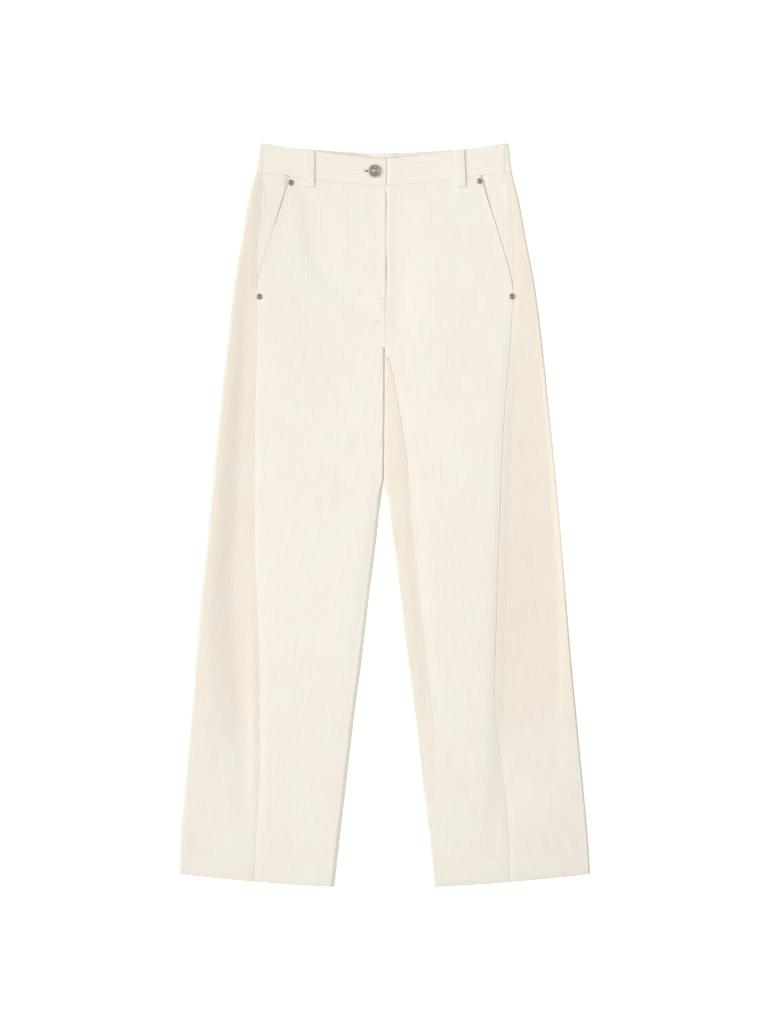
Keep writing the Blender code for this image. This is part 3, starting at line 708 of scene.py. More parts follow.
def back_place(side, path, y, rise):
    """Where a back lies. Its path is 0 where the top layer starts to turn down round the outside."""
    centre = outer_edge(side, y) - ROLL
    half_turn = math.pi * ROLL
    under = back_under(side, y)
    turn = np.clip(path / ROLL, 0, math.pi)
    second = np.clip((path - half_turn - under) / ROLL, 0, math.pi)
    beyond = np.maximum(path - 2 * half_turn - under, 0)
    radius = ROLL + rise
    round_out, round_up = rolled(turn, SIDE_SQUARE[side])
    first = centre + np.minimum(path, 0) + radius * round_out
    first = first - np.clip(path - half_turn, 0, under)
    across, up = rolled(second, pressed(side, y))
    out = np.where(second > 0, centre - under - radius * across + beyond, first)
    on_top = (turn < math.pi / 2) | (second > math.pi / 2)
    bumps = relief(side, out, y) - seam_trough(side, out, y, seam_depth(side, y))
    inwards = np.minimum(path - half_turn, under + half_turn - path)
    lifted = back_lift(SIGN[side] * out, y) + folded(BACK_FOLDS[side], out, y) * ease(inwards / UNDER_FADE)
    lifted = np.where((turn >= math.pi) & (second == 0), lifted, 0)
    height = np.where(second > 0, ROLL - radius * up, ROLL + radius * round_up)
    return out, height + np.where(on_top, bumps, lifted)


def front_ribs(side, path, y):
    """How much of a rib shows on a front, and how far the cloth is pressed in, where it faces down."""
    start = inner_start(side, y, front_centre(y))
    return 1.0, ease(((start - path) / ROLL - UNDER_TURN) / UNDER_SPAN)


def back_facing_down(side, path, y):
    down = ease((path / ROLL - UNDER_TURN) / UNDER_SPAN)
    up = (path - math.pi * ROLL - back_under(side, y)) / ROLL
    return down * (1 - ease((up - math.pi + UNDER_TURN + UNDER_SPAN) / UNDER_SPAN))


def back_ribs(side, path, y):
    return 1.0, back_facing_down(side, path, y)


def facing_ribs(side, path, y):
    """Only what shows of a pocket facing is ribbed."""
    return ease((path - pocket_mouth(side, y)) / FACING_RIBS), 0.0


def no_shift(side, level):
    return 0.0


def settle(level, path, cut, side):
    """The path and height of points on rows, when the path depends on the height."""
    share = (WAIST_Y - level) / (WAIST_Y - HEM_INNER_Y)
    y = np.array(level, float)
    for _ in range(SETTLE_STEPS):
        along = path(side, y)
        out = cut.place(side, along, y, 0.0)[0]
        y = cut.waist(side, along, y, out) * (1 - share) + hem(out) * share
    return path(side, y) + np.zeros(np.shape(y)), y


def top_waist(side, path, y, out):
    return waist_seam(out)


def back_waist(side, path, y, out):
    """A back's upper edge: the front's where it comes round to the top, higher under the trousers."""
    down = back_facing_down(side, path, y)
    return waist_seam(out) * (1 - down) + back_seam(out) * down


# ---------------- cloth meshes


def rib_height(u):
    """The height of the pile over the cloth, from 0 in a groove to 1: round ribs and narrow grooves."""
    off = np.abs(u - np.round(u)) * 2
    return 1 - off ** RIB_ROUNDNESS


def edge_drop(distance, radius):
    """How far the surface rounds down towards a turned edge."""
    inward = np.clip(1 - distance / radius, 0, 1)
    return radius * (1 - np.sqrt(1 - inward * inward))


def bridge(near_keys, near_first, far_keys, far_first):
    """Triangles between two rows of points, which join those whose keys are closest."""
    near = np.arange(len(near_keys) - 1)
    far = np.arange(len(far_keys) - 1)
    across = far_first + np.searchsorted(far_keys[1:], near_keys[1:], side="left")
    back = near_first + np.searchsorted(near_keys[1:], far_keys[1:], side="right")
    lower = np.stack([near_first + near, near_first + near + 1, across], 1)
    upper = np.stack([back, far_first + far + 1, far_first + far], 1)
    return np.concatenate([lower, upper])


def stack(rows, first):
    """The faces between all the rows of one surface, and the number of each row's first point."""
    starts = first + np.cumsum([0] + [len(row["keys"]) for row in rows])
    faces = [
        bridge(near["keys"], starts[i], far["keys"], starts[i + 1])
        for i, (near, far) in enumerate(zip(rows, rows[1:]))
    ]
    return np.concatenate(faces), starts


def twin(keys, shown, soft, within, uv):
    """A row of a wall's outside and the one inside it. Soft points leave out the ribs."""
    outside = {"keys": keys, "points": shown, "soft": soft, "uv": uv}
    return outside, {"keys": keys, "points": within, "soft": within, "uv": uv}


def wall(name, outside, inside, material):
    """A closed cloth wall from the rows of its outside and inside."""
    outer_faces, outer_starts = stack(outside, 0)
    inner_faces, inner_starts = stack(inside, outer_starts[-1])
    faces = [outer_faces, inner_faces[:, ::-1]]
    first_in, first_out = inside[0]["keys"], outside[0]["keys"]
    faces.append(bridge(first_in, inner_starts[0], first_out, outer_starts[0]))
    last_in, last_out = inside[-1]["keys"], outside[-1]["keys"]
    faces.append(bridge(last_out, outer_starts[-2], last_in, inner_starts[-2]))
    for end in (0, 1):
        a = outer_starts[:-1] if end == 0 else outer_starts[1:] - 1
        b = inner_starts[:-1] if end == 0 else inner_starts[1:] - 1
        rim = np.concatenate([np.stack([a[:-1], a[1:], b[:-1]], 1), np.stack([b[:-1], a[1:], b[1:]], 1)])
        faces.append(rim if end == 0 else rim[:, ::-1])
    rows = [*outside, *inside]
    points, soft, uv = (np.concatenate([row[part] for row in rows]) for part in ("points", "soft", "uv"))
    faces = np.concatenate(faces)
    if volume(points, faces) < 0:
        faces = faces[:, ::-1]
    made = make_mesh(name, points * MM, faces, material, uv)
    soften(made.data, soft * MM)
    return made


def corner_normals(mesh, points):
    mesh.vertices.foreach_set("co", points.astype(np.float32).ravel())
    mesh.update()
    normals = np.empty(len(mesh.loops) * 3, np.float32)
    mesh.corner_normals.foreach_get("vector", normals)
    return normals.reshape(-1, 3)


def soften(mesh, soft):
    """Turns the shading of the ribs towards that of the cloth they stand on."""
    points = np.empty(len(mesh.vertices) * 3, np.float32)
    mesh.vertices.foreach_get("co", points)
    plain = corner_normals(mesh, soft)
    ribbed = corner_normals(mesh, points)
    mixed = ribbed + (plain - ribbed) * SOFT_PILE
    mesh.normals_split_custom_set(mixed / np.linalg.norm(mixed, axis=1, keepdims=True))


def make_mesh(name, points, faces, material, uv=None):
    mesh = bpy.data.meshes.new(name)
    mesh.vertices.add(len(points))
    mesh.vertices.foreach_set("co", points.astype(np.float32).ravel())
    size = faces.shape[1]
    mesh.loops.add(faces.size)
    mesh.loops.foreach_set("vertex_index", faces.astype(np.int32).ravel())
    mesh.polygons.add(len(faces))
    mesh.polygons.foreach_set("loop_start", np.arange(0, faces.size, size, dtype=np.int32))
    mesh.update(calc_edges=True)
    mesh.validate()
    mesh.shade_smooth()
    mesh.set_sharp_from_angle(angle=math.radians(SHARP_ANGLE))
    if uv is not None:
        layer = mesh.uv_layers.new(name="cloth")
        corners = np.empty(len(mesh.loops), np.int32)
        mesh.loops.foreach_get("vertex_index", corners)
        layer.uv.foreach_set("vector", uv[corners].astype(np.float32).ravel())
    mesh.materials.append(material)
    made = bpy.data.objects.new(name, mesh)
    bpy.context.scene.collection.objects.link(made)
    return made


def volume(points, faces):
    a, b, c = (points[faces[:, i]] for i in range(3))
    return np.einsum("ij,ij->i", a, np.cross(b, c)).sum() / 6


def levels_down(first, last):
    """The heights of a panel's rows at the centre line."""
    levels = [first]
    while levels[-1] > last + PANEL_STEPS["step"][-1]:
        levels.append(levels[-1] - float(read(PANEL_STEPS, "step", levels[-1])))
    return levels


def panel_levels():
    """Rows from the waist to the hem, closer at the turned edges and along the hem's stitching."""
    stitched = HEM_INNER_Y + HEM_DEPTH
    levels = [WAIST_Y - WAIST_RADIUS * share for share in EDGE_COLUMNS]
    levels += levels_down(WAIST_Y - WAIST_RADIUS - FIRST_ROW, stitched + STITCH_ROWS[0])
    levels += [stitched + step for step in (*STITCH_ROWS, *HEM_ROWS)]
    levels += [HEM_INNER_Y + HEM_RADIUS * share for share in EDGE_COLUMNS[::-1]]
    return np.array(levels)


def row_edge(level):
    """How far the cloth rounds down at the waist seam and at the hem."""
    return edge_drop(WAIST_Y - level, WAIST_RADIUS) + edge_drop(level - HEM_INNER_Y, HEM_RADIUS)


def stitch_pull(level):
    """The hem's stitching pulls the cloth in along its line."""
    return HEM_PULL[0] * bell(level - HEM_INNER_Y - HEM_DEPTH, HEM_PULL[1])


def panel_rows(side, levels, cut, offset):
    """The rows of a panel's outside and inside between its two edge lines, and where each one ends."""
    first, first_y = settle(levels, cut.first, cut, side)
    last, last_y = settle(levels, cut.last, cut, side)
    radii = cut.radii(side, first_y)[0], cut.radii(side, last_y)[1]
    shares = np.array(EDGE_COLUMNS)
    ends = np.arange(len(shares))
    outside, inside = [], []
    for level, start, end, start_radius, end_radius in zip(levels, first, last, *radii):
        shift = float(offset(side, level))
        low = math.ceil((start + start_radius - shift) / COLUMN + EDGE_MARGIN)
        high = math.floor((end - end_radius - shift) / COLUMN - EDGE_MARGIN)
        keys = np.arange(low, high + 1)
        rounded = (start + shares * start_radius, end - shares[::-1] * end_radius)
        path = np.concatenate([rounded[0], shift + keys * COLUMN, rounded[1]])
        drop = np.maximum(edge_drop(path - start, start_radius), edge_drop(end - path, end_radius))
        keys = np.concatenate([ends - EDGE_KEY, keys, ends + EDGE_KEY])
        kept = (keys % INSIDE_STEP == 0) & (np.abs(keys) < EDGE_KEY / 2)
        kept[[0, len(ends) - 1, -len(ends), -1]] = True
        base = {"level": level, "shift": shift}
        outside.append({"keys": keys, "path": path, "drop": drop, **base})
        inside.append({"keys": keys[kept], "path": path[kept], **base})
    return outside, inside, first, last


def place_rows(rows, side, cut, outer):
    """Works out the points of all the rows of a panel's outside or inside."""
    counts = [len(row["keys"]) for row in rows]
    level = np.repeat([row["level"] for row in rows], counts)
    shift = np.repeat([row["shift"] for row in rows], counts)
    path = np.concatenate([row["path"] for row in rows])
    _, y = settle(level, lambda side, y: path, cut, side)
    u = (path - shift) / PITCH
    rise, pile = -np.where(level <= HEM_INNER_Y + HEM_DEPTH, HEM_WALL, CLOTH), 0
    if outer:
        drop = np.concatenate([row["drop"] for row in rows])
        shown, down = cut.ribs(side, path, y)
        rise = -RIB * down - drop - row_edge(level) - stitch_pull(level)
        pile = RIB * rib_height(u) * shown * (1 - np.minimum(drop / PILE_PRESS, 1))
    uv = np.stack([u, y / PITCH], 1)
    soft = surface_points(side, path, y, rise + np.mean(pile), cut.place)
    fill_rows(rows, surface_points(side, path, y, rise + pile, cut.place), soft, uv)


def panel(node, side, levels, cut, material, offset=no_shift):
    """A cut panel with ribs along its grain."""
    outside, inside, first, last = panel_rows(side, levels, cut, offset)
    place_rows(outside, side, cut, True)
    place_rows(inside, side, cut, False)
    made = wall(f"cloth_{node}", outside, inside, material)
    dress(made, node)


def surface_points(side, path, y, rise, place):
    out, z = place(side, path, y, rise)
    return np.stack([SIGN[side] * out, y, z], 1)


def fill_rows(rows, points, soft, uv):
    """Shares out the points of a whole surface to its rows."""
    at = 0
    for row in rows:
        part = slice(at, at + len(row["keys"]))
        row["points"], row["soft"], row["uv"] = points[part], soft[part], uv[part]
        at = part.stop


# ---------------- materials


def linear(code):
    """An sRGB hex colour as linear light."""
    parts = [int(code[i:i + 2], 16) / 255 for i in (1, 3, 5)]
    return (*[c / 12.92 if c <= 0.04045 else ((c + 0.055) / 1.055) ** 2.4 for c in parts], 1)


def plug(tree, node, **inputs):
    """Sets a node's inputs. Each is a number, a colour or another node's output."""
    for name, value in inputs.items():
        socket = node.inputs[int(name[1:])] if name[1:].isdigit() else node.inputs[name.replace("_", " ")]
        if isinstance(value, bpy.types.NodeSocket):
            tree.links.new(value, socket)
        else:
            socket.default_value = value


def add(tree, kind, settings=None, result=0, **inputs):
    """Adds a node and gives one of its outputs."""
    node = tree.nodes.new(f"ShaderNode{kind}")
    for name, value in (settings or {}).items():
        setattr(node, name, value)
    plug(tree, node, **inputs)
    return node.outputs[result]


def mixed(tree, share, first, second, blend="MIX"):
    settings = {"data_type": "RGBA", "blend_type": blend}
    return add(tree, "Mix", settings, 2, i0=share, i6=first, i7=second)


def spread(tree, value, low, high, start, end, kind="LINEAR"):
    """Maps a value from one range to another."""
    return add(tree, "MapRange", {"interpolation_type": kind}, i0=value, i1=low, i2=high, i3=start, i4=end)


def object_place(tree):
    return add(tree, "TexCoord", result="Object")


def new_material(name):
    material = bpy.data.materials.new(name)
    material.use_nodes = True
    return material, material.node_tree, material.node_tree.nodes["Principled BSDF"]


def cotton_corduroy(name, painted_shade_share):
    """Cut cotton pile in round ribs, woven and raised by brushing: matt, with a faint velvet edge. Its
    grooves are painted a little darker than its ribs, as painted shade. The second argument paints the
    cloth deeper and warmer, fading out towards the hems, as painted shade."""
    material, tree, shader = new_material(name)
    uv = add(tree, "UVMap", {"uv_map": "cloth"})
    across = add(tree, "SeparateXYZ", i0=uv)
    turn = add(tree, "Math", {"operation": "MULTIPLY"}, i0=across, i1=2 * math.pi)
    wave = add(tree, "Math", {"operation": "COSINE"}, i0=turn)
    groove = spread(tree, wave, -0.35, -1.0, 0.0, 1.0, "SMOOTHSTEP")
    # fibres of the pile, drawn about 0.5 mm wide, longer along the rib
    fibre_at = add(tree, "VectorMath", {"operation": "MULTIPLY"}, i0=uv, i1=(PITCH, PITCH * 0.45, 1.0))
    fibre = add(tree, "TexNoise", Vector=fibre_at, Scale=2.0, Detail=3.0, Roughness=0.6)
    # whole ribs brushed lighter or darker, for some 40 mm at a time
    nap_at = add(tree, "VectorMath", {"operation": "MULTIPLY"}, i0=uv, i1=(0.9, PITCH / 40, 1.0))
    nap = add(tree, "TexNoise", Vector=nap_at, Scale=1.0, Detail=1.0)
    place = object_place(tree)
    cloud = add(tree, "TexNoise", Vector=place, Scale=14.0, Detail=2.0)
    # the second argument darkens and warms the cloth, fading out towards the hems: painted shade
    height = add(tree, "SeparateXYZ", result=1, i0=place)
    painted_back_shade = spread(tree, height, -0.42, -0.2, 0.0, painted_shade_share, "SMOOTHSTEP")
    # the rib colour and a darker groove colour: painted shade in the grooves
    ribs_with_painted_groove_shade = mixed(tree, groove, linear("#EBE7DF"), linear("#E6E0D4"))
    # multiplying by #FCFAF6 makes that painted shade
    ribbed = mixed(tree, painted_back_shade, ribs_with_painted_groove_shade, linear("#FCFAF6"), "MULTIPLY")
    fibre_tone = spread(tree, fibre, 0.3, 0.7, 0.965, 1.025)
    nap_tone = spread(tree, nap, 0.3, 0.7, 0.985, 1.015)
    tone = add(tree, "Math", {"operation": "MULTIPLY"}, i0=fibre_tone, i1=nap_tone)
    toned = add(tree, "VectorMath", {"operation": "SCALE"}, i0=ribbed, Scale=tone)
    tint = mixed(tree, cloud, toned, linear("#FDF9F3"), "MULTIPLY")
    bump = add(tree, "Bump", Strength=0.35, Distance=0.0003, Height=fibre)
    plug(tree, shader, Base_Color=tint, Normal=bump, Roughness=0.92, Specular_IOR_Level=0.2,
         Sheen_Weight=0.15, Sheen_Roughness=0.5)
    return material


def sewing_thread():
    """Spun polyester thread, dyed to match: a little smoother and warmer than the pile."""
    material, tree, shader = new_material("sewing_thread")
    lint = add(tree, "TexNoise", Vector=object_place(tree), Scale=900.0)
    plug(tree, shader, Base_Color=mixed(tree, lint, linear("#E9E0CD"), linear("#F4EDDE")), Roughness=0.6)
    return material


def antique_silver(name, dark, bright, smoothest):
    """Nickel-plated brass, blackened and tumbled: a soft broken shine where it is rubbed bright, and
    dark brown patina left where it is recessed."""
    material, tree, shader = new_material(name)
    wear = add(tree, "TexNoise", Vector=object_place(tree), Scale=700.0, Detail=3.0)
    colour = mixed(tree, wear, linear(dark), linear(bright))
    rough = spread(tree, wear, 0.3, 0.7, smoothest, 0.55)
    plug(tree, shader, Base_Color=colour, Roughness=rough, Metallic=1.0)
    return material


def studio_acrylic():
    """Matt white acrylic, lit faintly from below, so that soft shadows hardly show on it."""
    material, tree, shader = new_material("studio_acrylic")
    speckle = add(tree, "TexNoise", Vector=object_place(tree), Scale=300.0)
    colour = mixed(tree, speckle, linear("#F7F7F7"), linear("#FBFBFB"))
    plug(tree, shader, Base_Color=colour, Roughness=0.95, Emission_Color=(1, 1, 1, 1),
         Emission_Strength=FLOOR_GLOW)
    return material


CORDUROY = cotton_corduroy("cotton_corduroy", 0.0)
# the backs wear a copy with painted shade, deeper and warmer
SHADED_BACK_CORDUROY = cotton_corduroy("cotton_corduroy_painted_shade", 1.0)
THREAD = sewing_thread()
SILVER = antique_silver("antique_silver_rubbed", "#8E8175", "#D2C9BE", 0.4)
PATINA = antique_silver("antique_silver_patina", "#594F46", "#8F8378", 0.3)
ACRYLIC = studio_acrylic()

# ---------------- the pieces


def dress(piece, node):
    """A piece rides with the trousers and stands for a node."""
    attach(piece, "root")
    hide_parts(node)


SEWN = {}  # the stitches on each node


def strip(node, rows):
    """A narrow piece of cloth from its rows, each with an outside and an inside."""
    made = wall(f"cloth_{node}", *zip(*rows), CORDUROY)
    dress(made, node)
    return made


def front_inner(side, y):
    start = inner_start(side, y, front_centre(y)) - (SEAM_GAP - SEWN_GAP) / 2
    return start + (inseam(side, y) + SEAM_GAP / 2) * below_crotch(y)


def front_last(side, y):
    return front_outer(side, y) - SEWN_GAP / 2


def back_first(side, y):
    return side_seam(side, y) + SEWN_GAP / 2 - (outer_edge(side, y) - ROLL)


def back_last(side, y):
    turn = math.pi * ROLL + inseam(side, y) - SEWN_GAP / 2
    return math.pi * ROLL + back_under(side, y) + turn * below_crotch(y)


def front_radii(side, y):
    """A front is turned under along the fly and the pocket's mouth, and sewn below them."""
    fly = ease((y - FLY_END_Y) / FLY_BLEND)
    crotch = below_crotch(y)
    pocket = ease((y - POCKET_END_Y) / FLY_BLEND)
    centre = CENTRE_RADIUS + (EDGE_RADIUS - CENTRE_RADIUS) * fly
    inner = centre + (read(INSEAM_RADIUS, side, y) - centre) * crotch
    outer = read(SIDE_RADIUS, side, y)
    upper = ease((y - MOUTH_ROUND_Y) / MOUTH_ROUND_FADE)
    mouth = MOUTH_RADIUS[side] + (EDGE_RADIUS - MOUTH_RADIUS[side]) * upper
    return inner, outer + (mouth - outer) * pocket


def back_radii(side, y):
    outer = read(SIDE_RADIUS, side, y)
    return outer, read(INSEAM_RADIUS, side, y)


def facing_hidden(side, y):
    return pocket_mouth(side, y) - FACING_HIDDEN


def facing_seam(side, y):
    return side_seam(side, y) - SEWN_GAP / 2


def facing_radii(side, y):
    outer = read(SIDE_RADIUS, side, y)
    return outer, outer


# How a panel is cut and laid: its two edge lines, where it lies, its upper edge, its ribs, and the radii
# that round off its first and last edge.
Cut = namedtuple("Cut", "first last place waist ribs radii")
FRONT = Cut(front_inner, front_last, front_place, top_waist, front_ribs, front_radii)
BACK = Cut(back_first, back_last, back_place, back_waist, back_ribs, back_radii)
FACING = Cut(facing_hidden, facing_seam, facing_place, top_waist, facing_ribs, facing_radii)


def make_panels():
    levels = panel_levels()
    for side in SIGN:
        panel(f"front_{side}", side, levels, FRONT, CORDUROY, offset=grain)
        panel(f"back_{side}", side, levels, BACK, SHADED_BACK_CORDUROY)


def make_facings():
    top = [WAIST_Y - WAIST_RADIUS * share for share in EDGE_COLUMNS]
    levels = np.concatenate([top, np.arange(WAIST_Y - FACING_STEP, FLY_END_Y - 1, -FACING_STEP)])
    for side in SIGN:
        panel(f"pocket_facing_{side}", side, levels, FACING, CORDUROY)


# ---------------- waistbands and loops

BAND_STATION = 3.0  # from one upright row of a band to the next
BAND_STITCH = 2.6  # from a band's edge to its stitching
STITCH_DIP = 0.22
BAND_DIP_WIDTH = 0.7
BAND_MARGIN = (1.3, 1.2)  # the ribs' columns start this far from a round edge, in radii: foot and head
BAND_MIDDLE_Y = 500.0
BAND_ENDS = (  # the back band beside its seams: the share of the way from the roll, and how far it drops
    (1.0, 0.45),
    (0.9, 0.2),
    (0.8, 0.0),
    (0.5, 0.0),
    (0.25, 0.0),
)
TURN_ROWS = 15
BAND_UNDER_OUT = 168.0


def top_height(x, y):
    """The height of the top layer's cloth at a place, on either side."""
    right = relief("right", np.abs(x), y)
    return 2 * ROLL + np.where(np.asarray(x) < 0, right, relief("left", np.abs(x), y))


def band_row(place, lower, upper, along, ribbed=1.0, end_drop=0.0, facing_down=0.0):
    """One upright row of a waistband's outside and inside. place(y, rise) gives its points."""
    depth = upper - lower
    foot, head = (np.array(EDGE_COLUMNS) * radius for radius in (WAIST_RADIUS, HEM_RADIUS))
    middle = np.arange(1, 4 * BAND_RIBS) / (4 * BAND_RIBS) * depth
    middle = middle[(middle > foot[-1] * BAND_MARGIN[0]) & (middle < depth - head[-1] * BAND_MARGIN[1])]
    up = np.concatenate([foot, middle, depth - head[::-1]])
    u = up / depth * BAND_RIBS - 0.5
    drop = edge_drop(up, WAIST_RADIUS) + edge_drop(depth - up, HEM_RADIUS)
    stitched = STITCH_DIP * bell(np.minimum(up, depth - up) - BAND_STITCH, BAND_DIP_WIDTH)
    pile = RIB * rib_height(u) * ribbed * (1 - np.minimum(drop / PILE_PRESS, 1))
    rise = -RIB * facing_down - drop - stitched - end_drop
    y = lower + up
    uv = np.stack([u, np.full(len(up), along / PITCH)], 1)
    keys = np.arange(len(up))
    soft = place(y, rise + RIB * ribbed / 2)
    return twin(keys, place(y, rise + pile), soft, place(y, np.full(len(up), -BAND_WALL)), uv)


def stations(first, last, rounded=(1.0, 1.0), count=None):
    """Places along a strip with how far each rounds down, closer at its ends, which are turned under."""
    edge = np.array(EDGE_COLUMNS) * EDGE_RADIUS
    count = count or max(2, round((last - first) / BAND_STATION))
    middle = np.linspace(first + EDGE_RADIUS, last - EDGE_RADIUS, count)[1:-1]
    places = np.concatenate([first + edge, middle, last - edge[::-1]])
    near_first = edge_drop(places - first, EDGE_RADIUS) * rounded[0]
    near_last = edge_drop(last - places, EDGE_RADIUS) * rounded[1]
    return list(zip(places.tolist(), (near_first + near_last).tolist()))


def front_band_row(x, end_drop=0.0, sink=0.0, ribbed=1.0):
    def place(y, rise):
        z = top_height(x, y) + BAND_PROUD + rise - sink
        return np.stack([np.full(len(y), x), y, z], 1)

    lower = float(waist_seam(x)) + SEWN_GAP
    return band_row(place, lower, float(front_top(x)), x, ribbed, end_drop)


def back_band_row(side, path_at, lower, end_drop=0.0):
    def place(y, rise):
        path = path_at(side, y) + 0 * y
        out, z = back_place(side, path, y, rise)
        return np.stack([SIGN[side] * out, y, z + BAND_PROUD * ease(1 - path / ROLL)], 1)

    low_out = abs(place(np.array([BAND_LOW_Y]), 0.0)[0][0])
    high_out = abs(place(np.array([BAND_HIGH_Y]), 0.0)[0][0])
    y = np.array([BAND_MIDDLE_Y])
    path = float((path_at(side, y) + 0 * y)[0])
    down = float(ease((path / ROLL - UNDER_TURN) / UNDER_SPAN))
    low, high = float(lower(low_out)) + SEWN_GAP, float(back_top(high_out))
    along = SIGN[side] * (BAND_SEAM_OUT + path)
    return band_row(place, low, high, along, end_drop=end_drop, facing_down=down)


def pull(x):
    middle, width, depth = BUTTON_PULL
    return depth * bell(x - middle, width)


def make_front_bands():
    """The right band laps over the left one, whose end drops to lie under it."""
    seam = BAND_SEAM_OUT - SEWN_GAP / 2
    rows = [front_band_row(x, drop) for x, drop in stations(-seam, BAND_LAP, (0.5, 1.0))]
    right = strip("waistband_front_right", rows)
    lap_end = BAND_LAP + SEAM_GAP
    rows = []
    for x, drop in stations(-UNDERLAP, seam, (1.0, 0.5)):
        slope = 1 - float(ease((x - lap_end) / LAP_SLOPE))
        rows.append(front_band_row(x, drop, (BAND_SINK + pull(x)) * slope, 1 - slope))
    strip("waistband_front_left", rows)
    return right


def make_back_band():
    """One piece under the back, which comes up round both sides to the band's side seams."""
    half_turn = math.pi * ROLL
    seam_at = BAND_SEAM_OUT + SEWN_GAP / 2 + ROLL
    halves = []
    for side in SIGN:
        rows = []
        for share, drop in BAND_ENDS:
            def on_top(side, y, share=share):
                return share * (seam_at - outer_edge(side, y))

            rows.append(back_band_row(side, on_top, waist_seam, end_drop=drop))
        for turn in np.linspace(0, half_turn, TURN_ROWS):
            rows.append(back_band_row(side, lambda side, y, turn=turn: turn, waist_seam))
        for out in np.arange(BAND_UNDER_OUT, -BAND_STATION / 2, -BAND_STATION):
            def under(side, y, out=out):
                return half_turn + back_under(side, y) - out

            rows.append(back_band_row(side, under, back_seam))
        halves.append(rows)
    rows = halves[0] + halves[1][-2::-1]
    strip("waistband_back", rows)


LOOP_STATIONS = 30
LOOP_RIBS = 4
LOOP_SETTLE = 0.8  # the sewn-down end lies this much lower, on the leg
LOOP_SETTLE_FADE = 8.0
LOOP_STITCH = 2.0
LOOP_DIP_WIDTH = 0.6
LOOP_MARGIN = 1.1
LOOP_LENGTH = float(front_top(0) - waist_seam(0)) + LOOP_BELOW_SEAM


def loop_columns():
    """Places across a loop from its left edge, with their drop, pile and rib coordinate."""
    edge = np.array(EDGE_COLUMNS) * EDGE_RADIUS
    middle = np.arange(1, 4 * LOOP_RIBS) / (4 * LOOP_RIBS) * LOOP_WIDTH
    margin = edge[-1] * LOOP_MARGIN
    middle = middle[(middle > margin) & (middle < LOOP_WIDTH - margin)]
    across = np.concatenate([edge, middle, LOOP_WIDTH - edge[::-1]])
    off = np.minimum(across, LOOP_WIDTH - across)
    u = across / LOOP_WIDTH * LOOP_RIBS - 0.5
    drop = edge_drop(off, EDGE_RADIUS) + STITCH_DIP * bell(off - LOOP_STITCH, LOOP_DIP_WIDTH)
    return across, drop, RIB * rib_height(u) * (1 - np.minimum(drop / PILE_PRESS, 1)), u


def loop_row(x, y, outer, inner, pile, u):
    """One row across a loop, from the heights of its outside, without and with its pile, and inside."""
    level = np.full(len(x), y)
    uv = np.stack([u, level / PITCH], 1)
    heights = (outer + pile, outer, np.full(len(x), inner))
    return twin(np.arange(len(x)), *(np.stack([x, level, height], 1) for height in heights), uv)


def front_loop_span(side):
    """A front loop's upper and lower end."""
    top_x, bottom_x = FRONT_LOOPS[side]
    return float(front_top(top_x)), float(waist_seam(bottom_x)) - LOOP_BELOW_SEAM


def back_loop_span(side):
    middle = BACK_LOOPS[side]
    return float(back_top(middle)), float(back_seam(middle)) - LOOP_BELOW_SEAM


def make_loop(node, span, row_at):
    """A belt loop from its rows. row_at(y, end_drop) gives each."""
    top, bottom = span
    places = stations(0, top - bottom, count=LOOP_STATIONS)
    rows = [row_at(top - place, end_drop) for place, end_drop in places]
    strip(node, rows)


def make_front_loop(side):
    """A belt loop over the band, held at its two ends."""
    across, drop, pile, u = loop_columns()

    def row_at(y, end_drop):
        middle, base = loop_base(side, y)
        outer = base + LOOP_WALL - drop - end_drop
        return loop_row(middle - LOOP_WIDTH / 2 + across, y, outer, base, pile, u)

    make_loop(f"belt_loop_front_{side}", front_loop_span(side), row_at)


def loop_base(side, y):
    """The middle of a front loop at a height, and how high its inside lies there."""
    top_x, bottom_x = FRONT_LOOPS[side]
    top, bottom = front_loop_span(side)
    station = min(max((top - y) / (top - bottom), 0), 1)
    middle = top_x + (bottom_x - top_x) * station
    low = LOOP_SETTLE * float(ease((waist_seam(middle) - y) / LOOP_SETTLE_FADE))
    base = float(top_height(middle, y)) + BAND_PROUD + RIB + LOOP_CLEARANCE - low
    return middle, base + LOOP_ARCH * math.sin(math.pi * station)


def make_back_loop(side):
    """A belt loop under the back, pressed flat by the trousers' weight."""
    across, drop, pile, u = loop_columns()
    x = BACK_LOOPS[side] - LOOP_WIDTH / 2 + across

    def row_at(y, end_drop):
        return loop_row(x, y, RIB + drop + end_drop, LOOP_WALL, -pile, u)

    make_loop(f"belt_loop_back_{side}", back_loop_span(side), row_at)


# ---------------- the fly's hidden strips

STRIP_TOP_Y = WAIST_Y - 1.0
STRIP_END_Y = FLY_END_Y + 6.0
STRIP_ROWS = 40
CUT_DEPTH = 20.0
ZIP_STRIP = (-12.0, 12.0, 1.6, 1.0)  # its left and right edge, its drop below the fly, its thickness
UNDERLAP_STRIP = (-30.0, 22.0, 2.9, 1.2)


def strip_row(y, left, right, drop, thickness):
    x = np.arange(left, right + COLUMN / 2, COLUMN)
    x[-1] = right
    level = np.full(len(x), y)
    z = top_height(x, level) - drop
    upper, lower = np.stack([x, level, z], 1), np.stack([x, level, z - thickness], 1)
    return twin(np.arange(len(x)), upper, upper, lower, np.stack([x / PITCH, level / PITCH], 1))


def make_hidden_strip(node, sizes):
    """A flat strip of cloth behind the fly."""
    rows = [strip_row(y, *sizes) for y in np.linspace(STRIP_END_Y, STRIP_TOP_Y, STRIP_ROWS)]
    strip(node, rows)


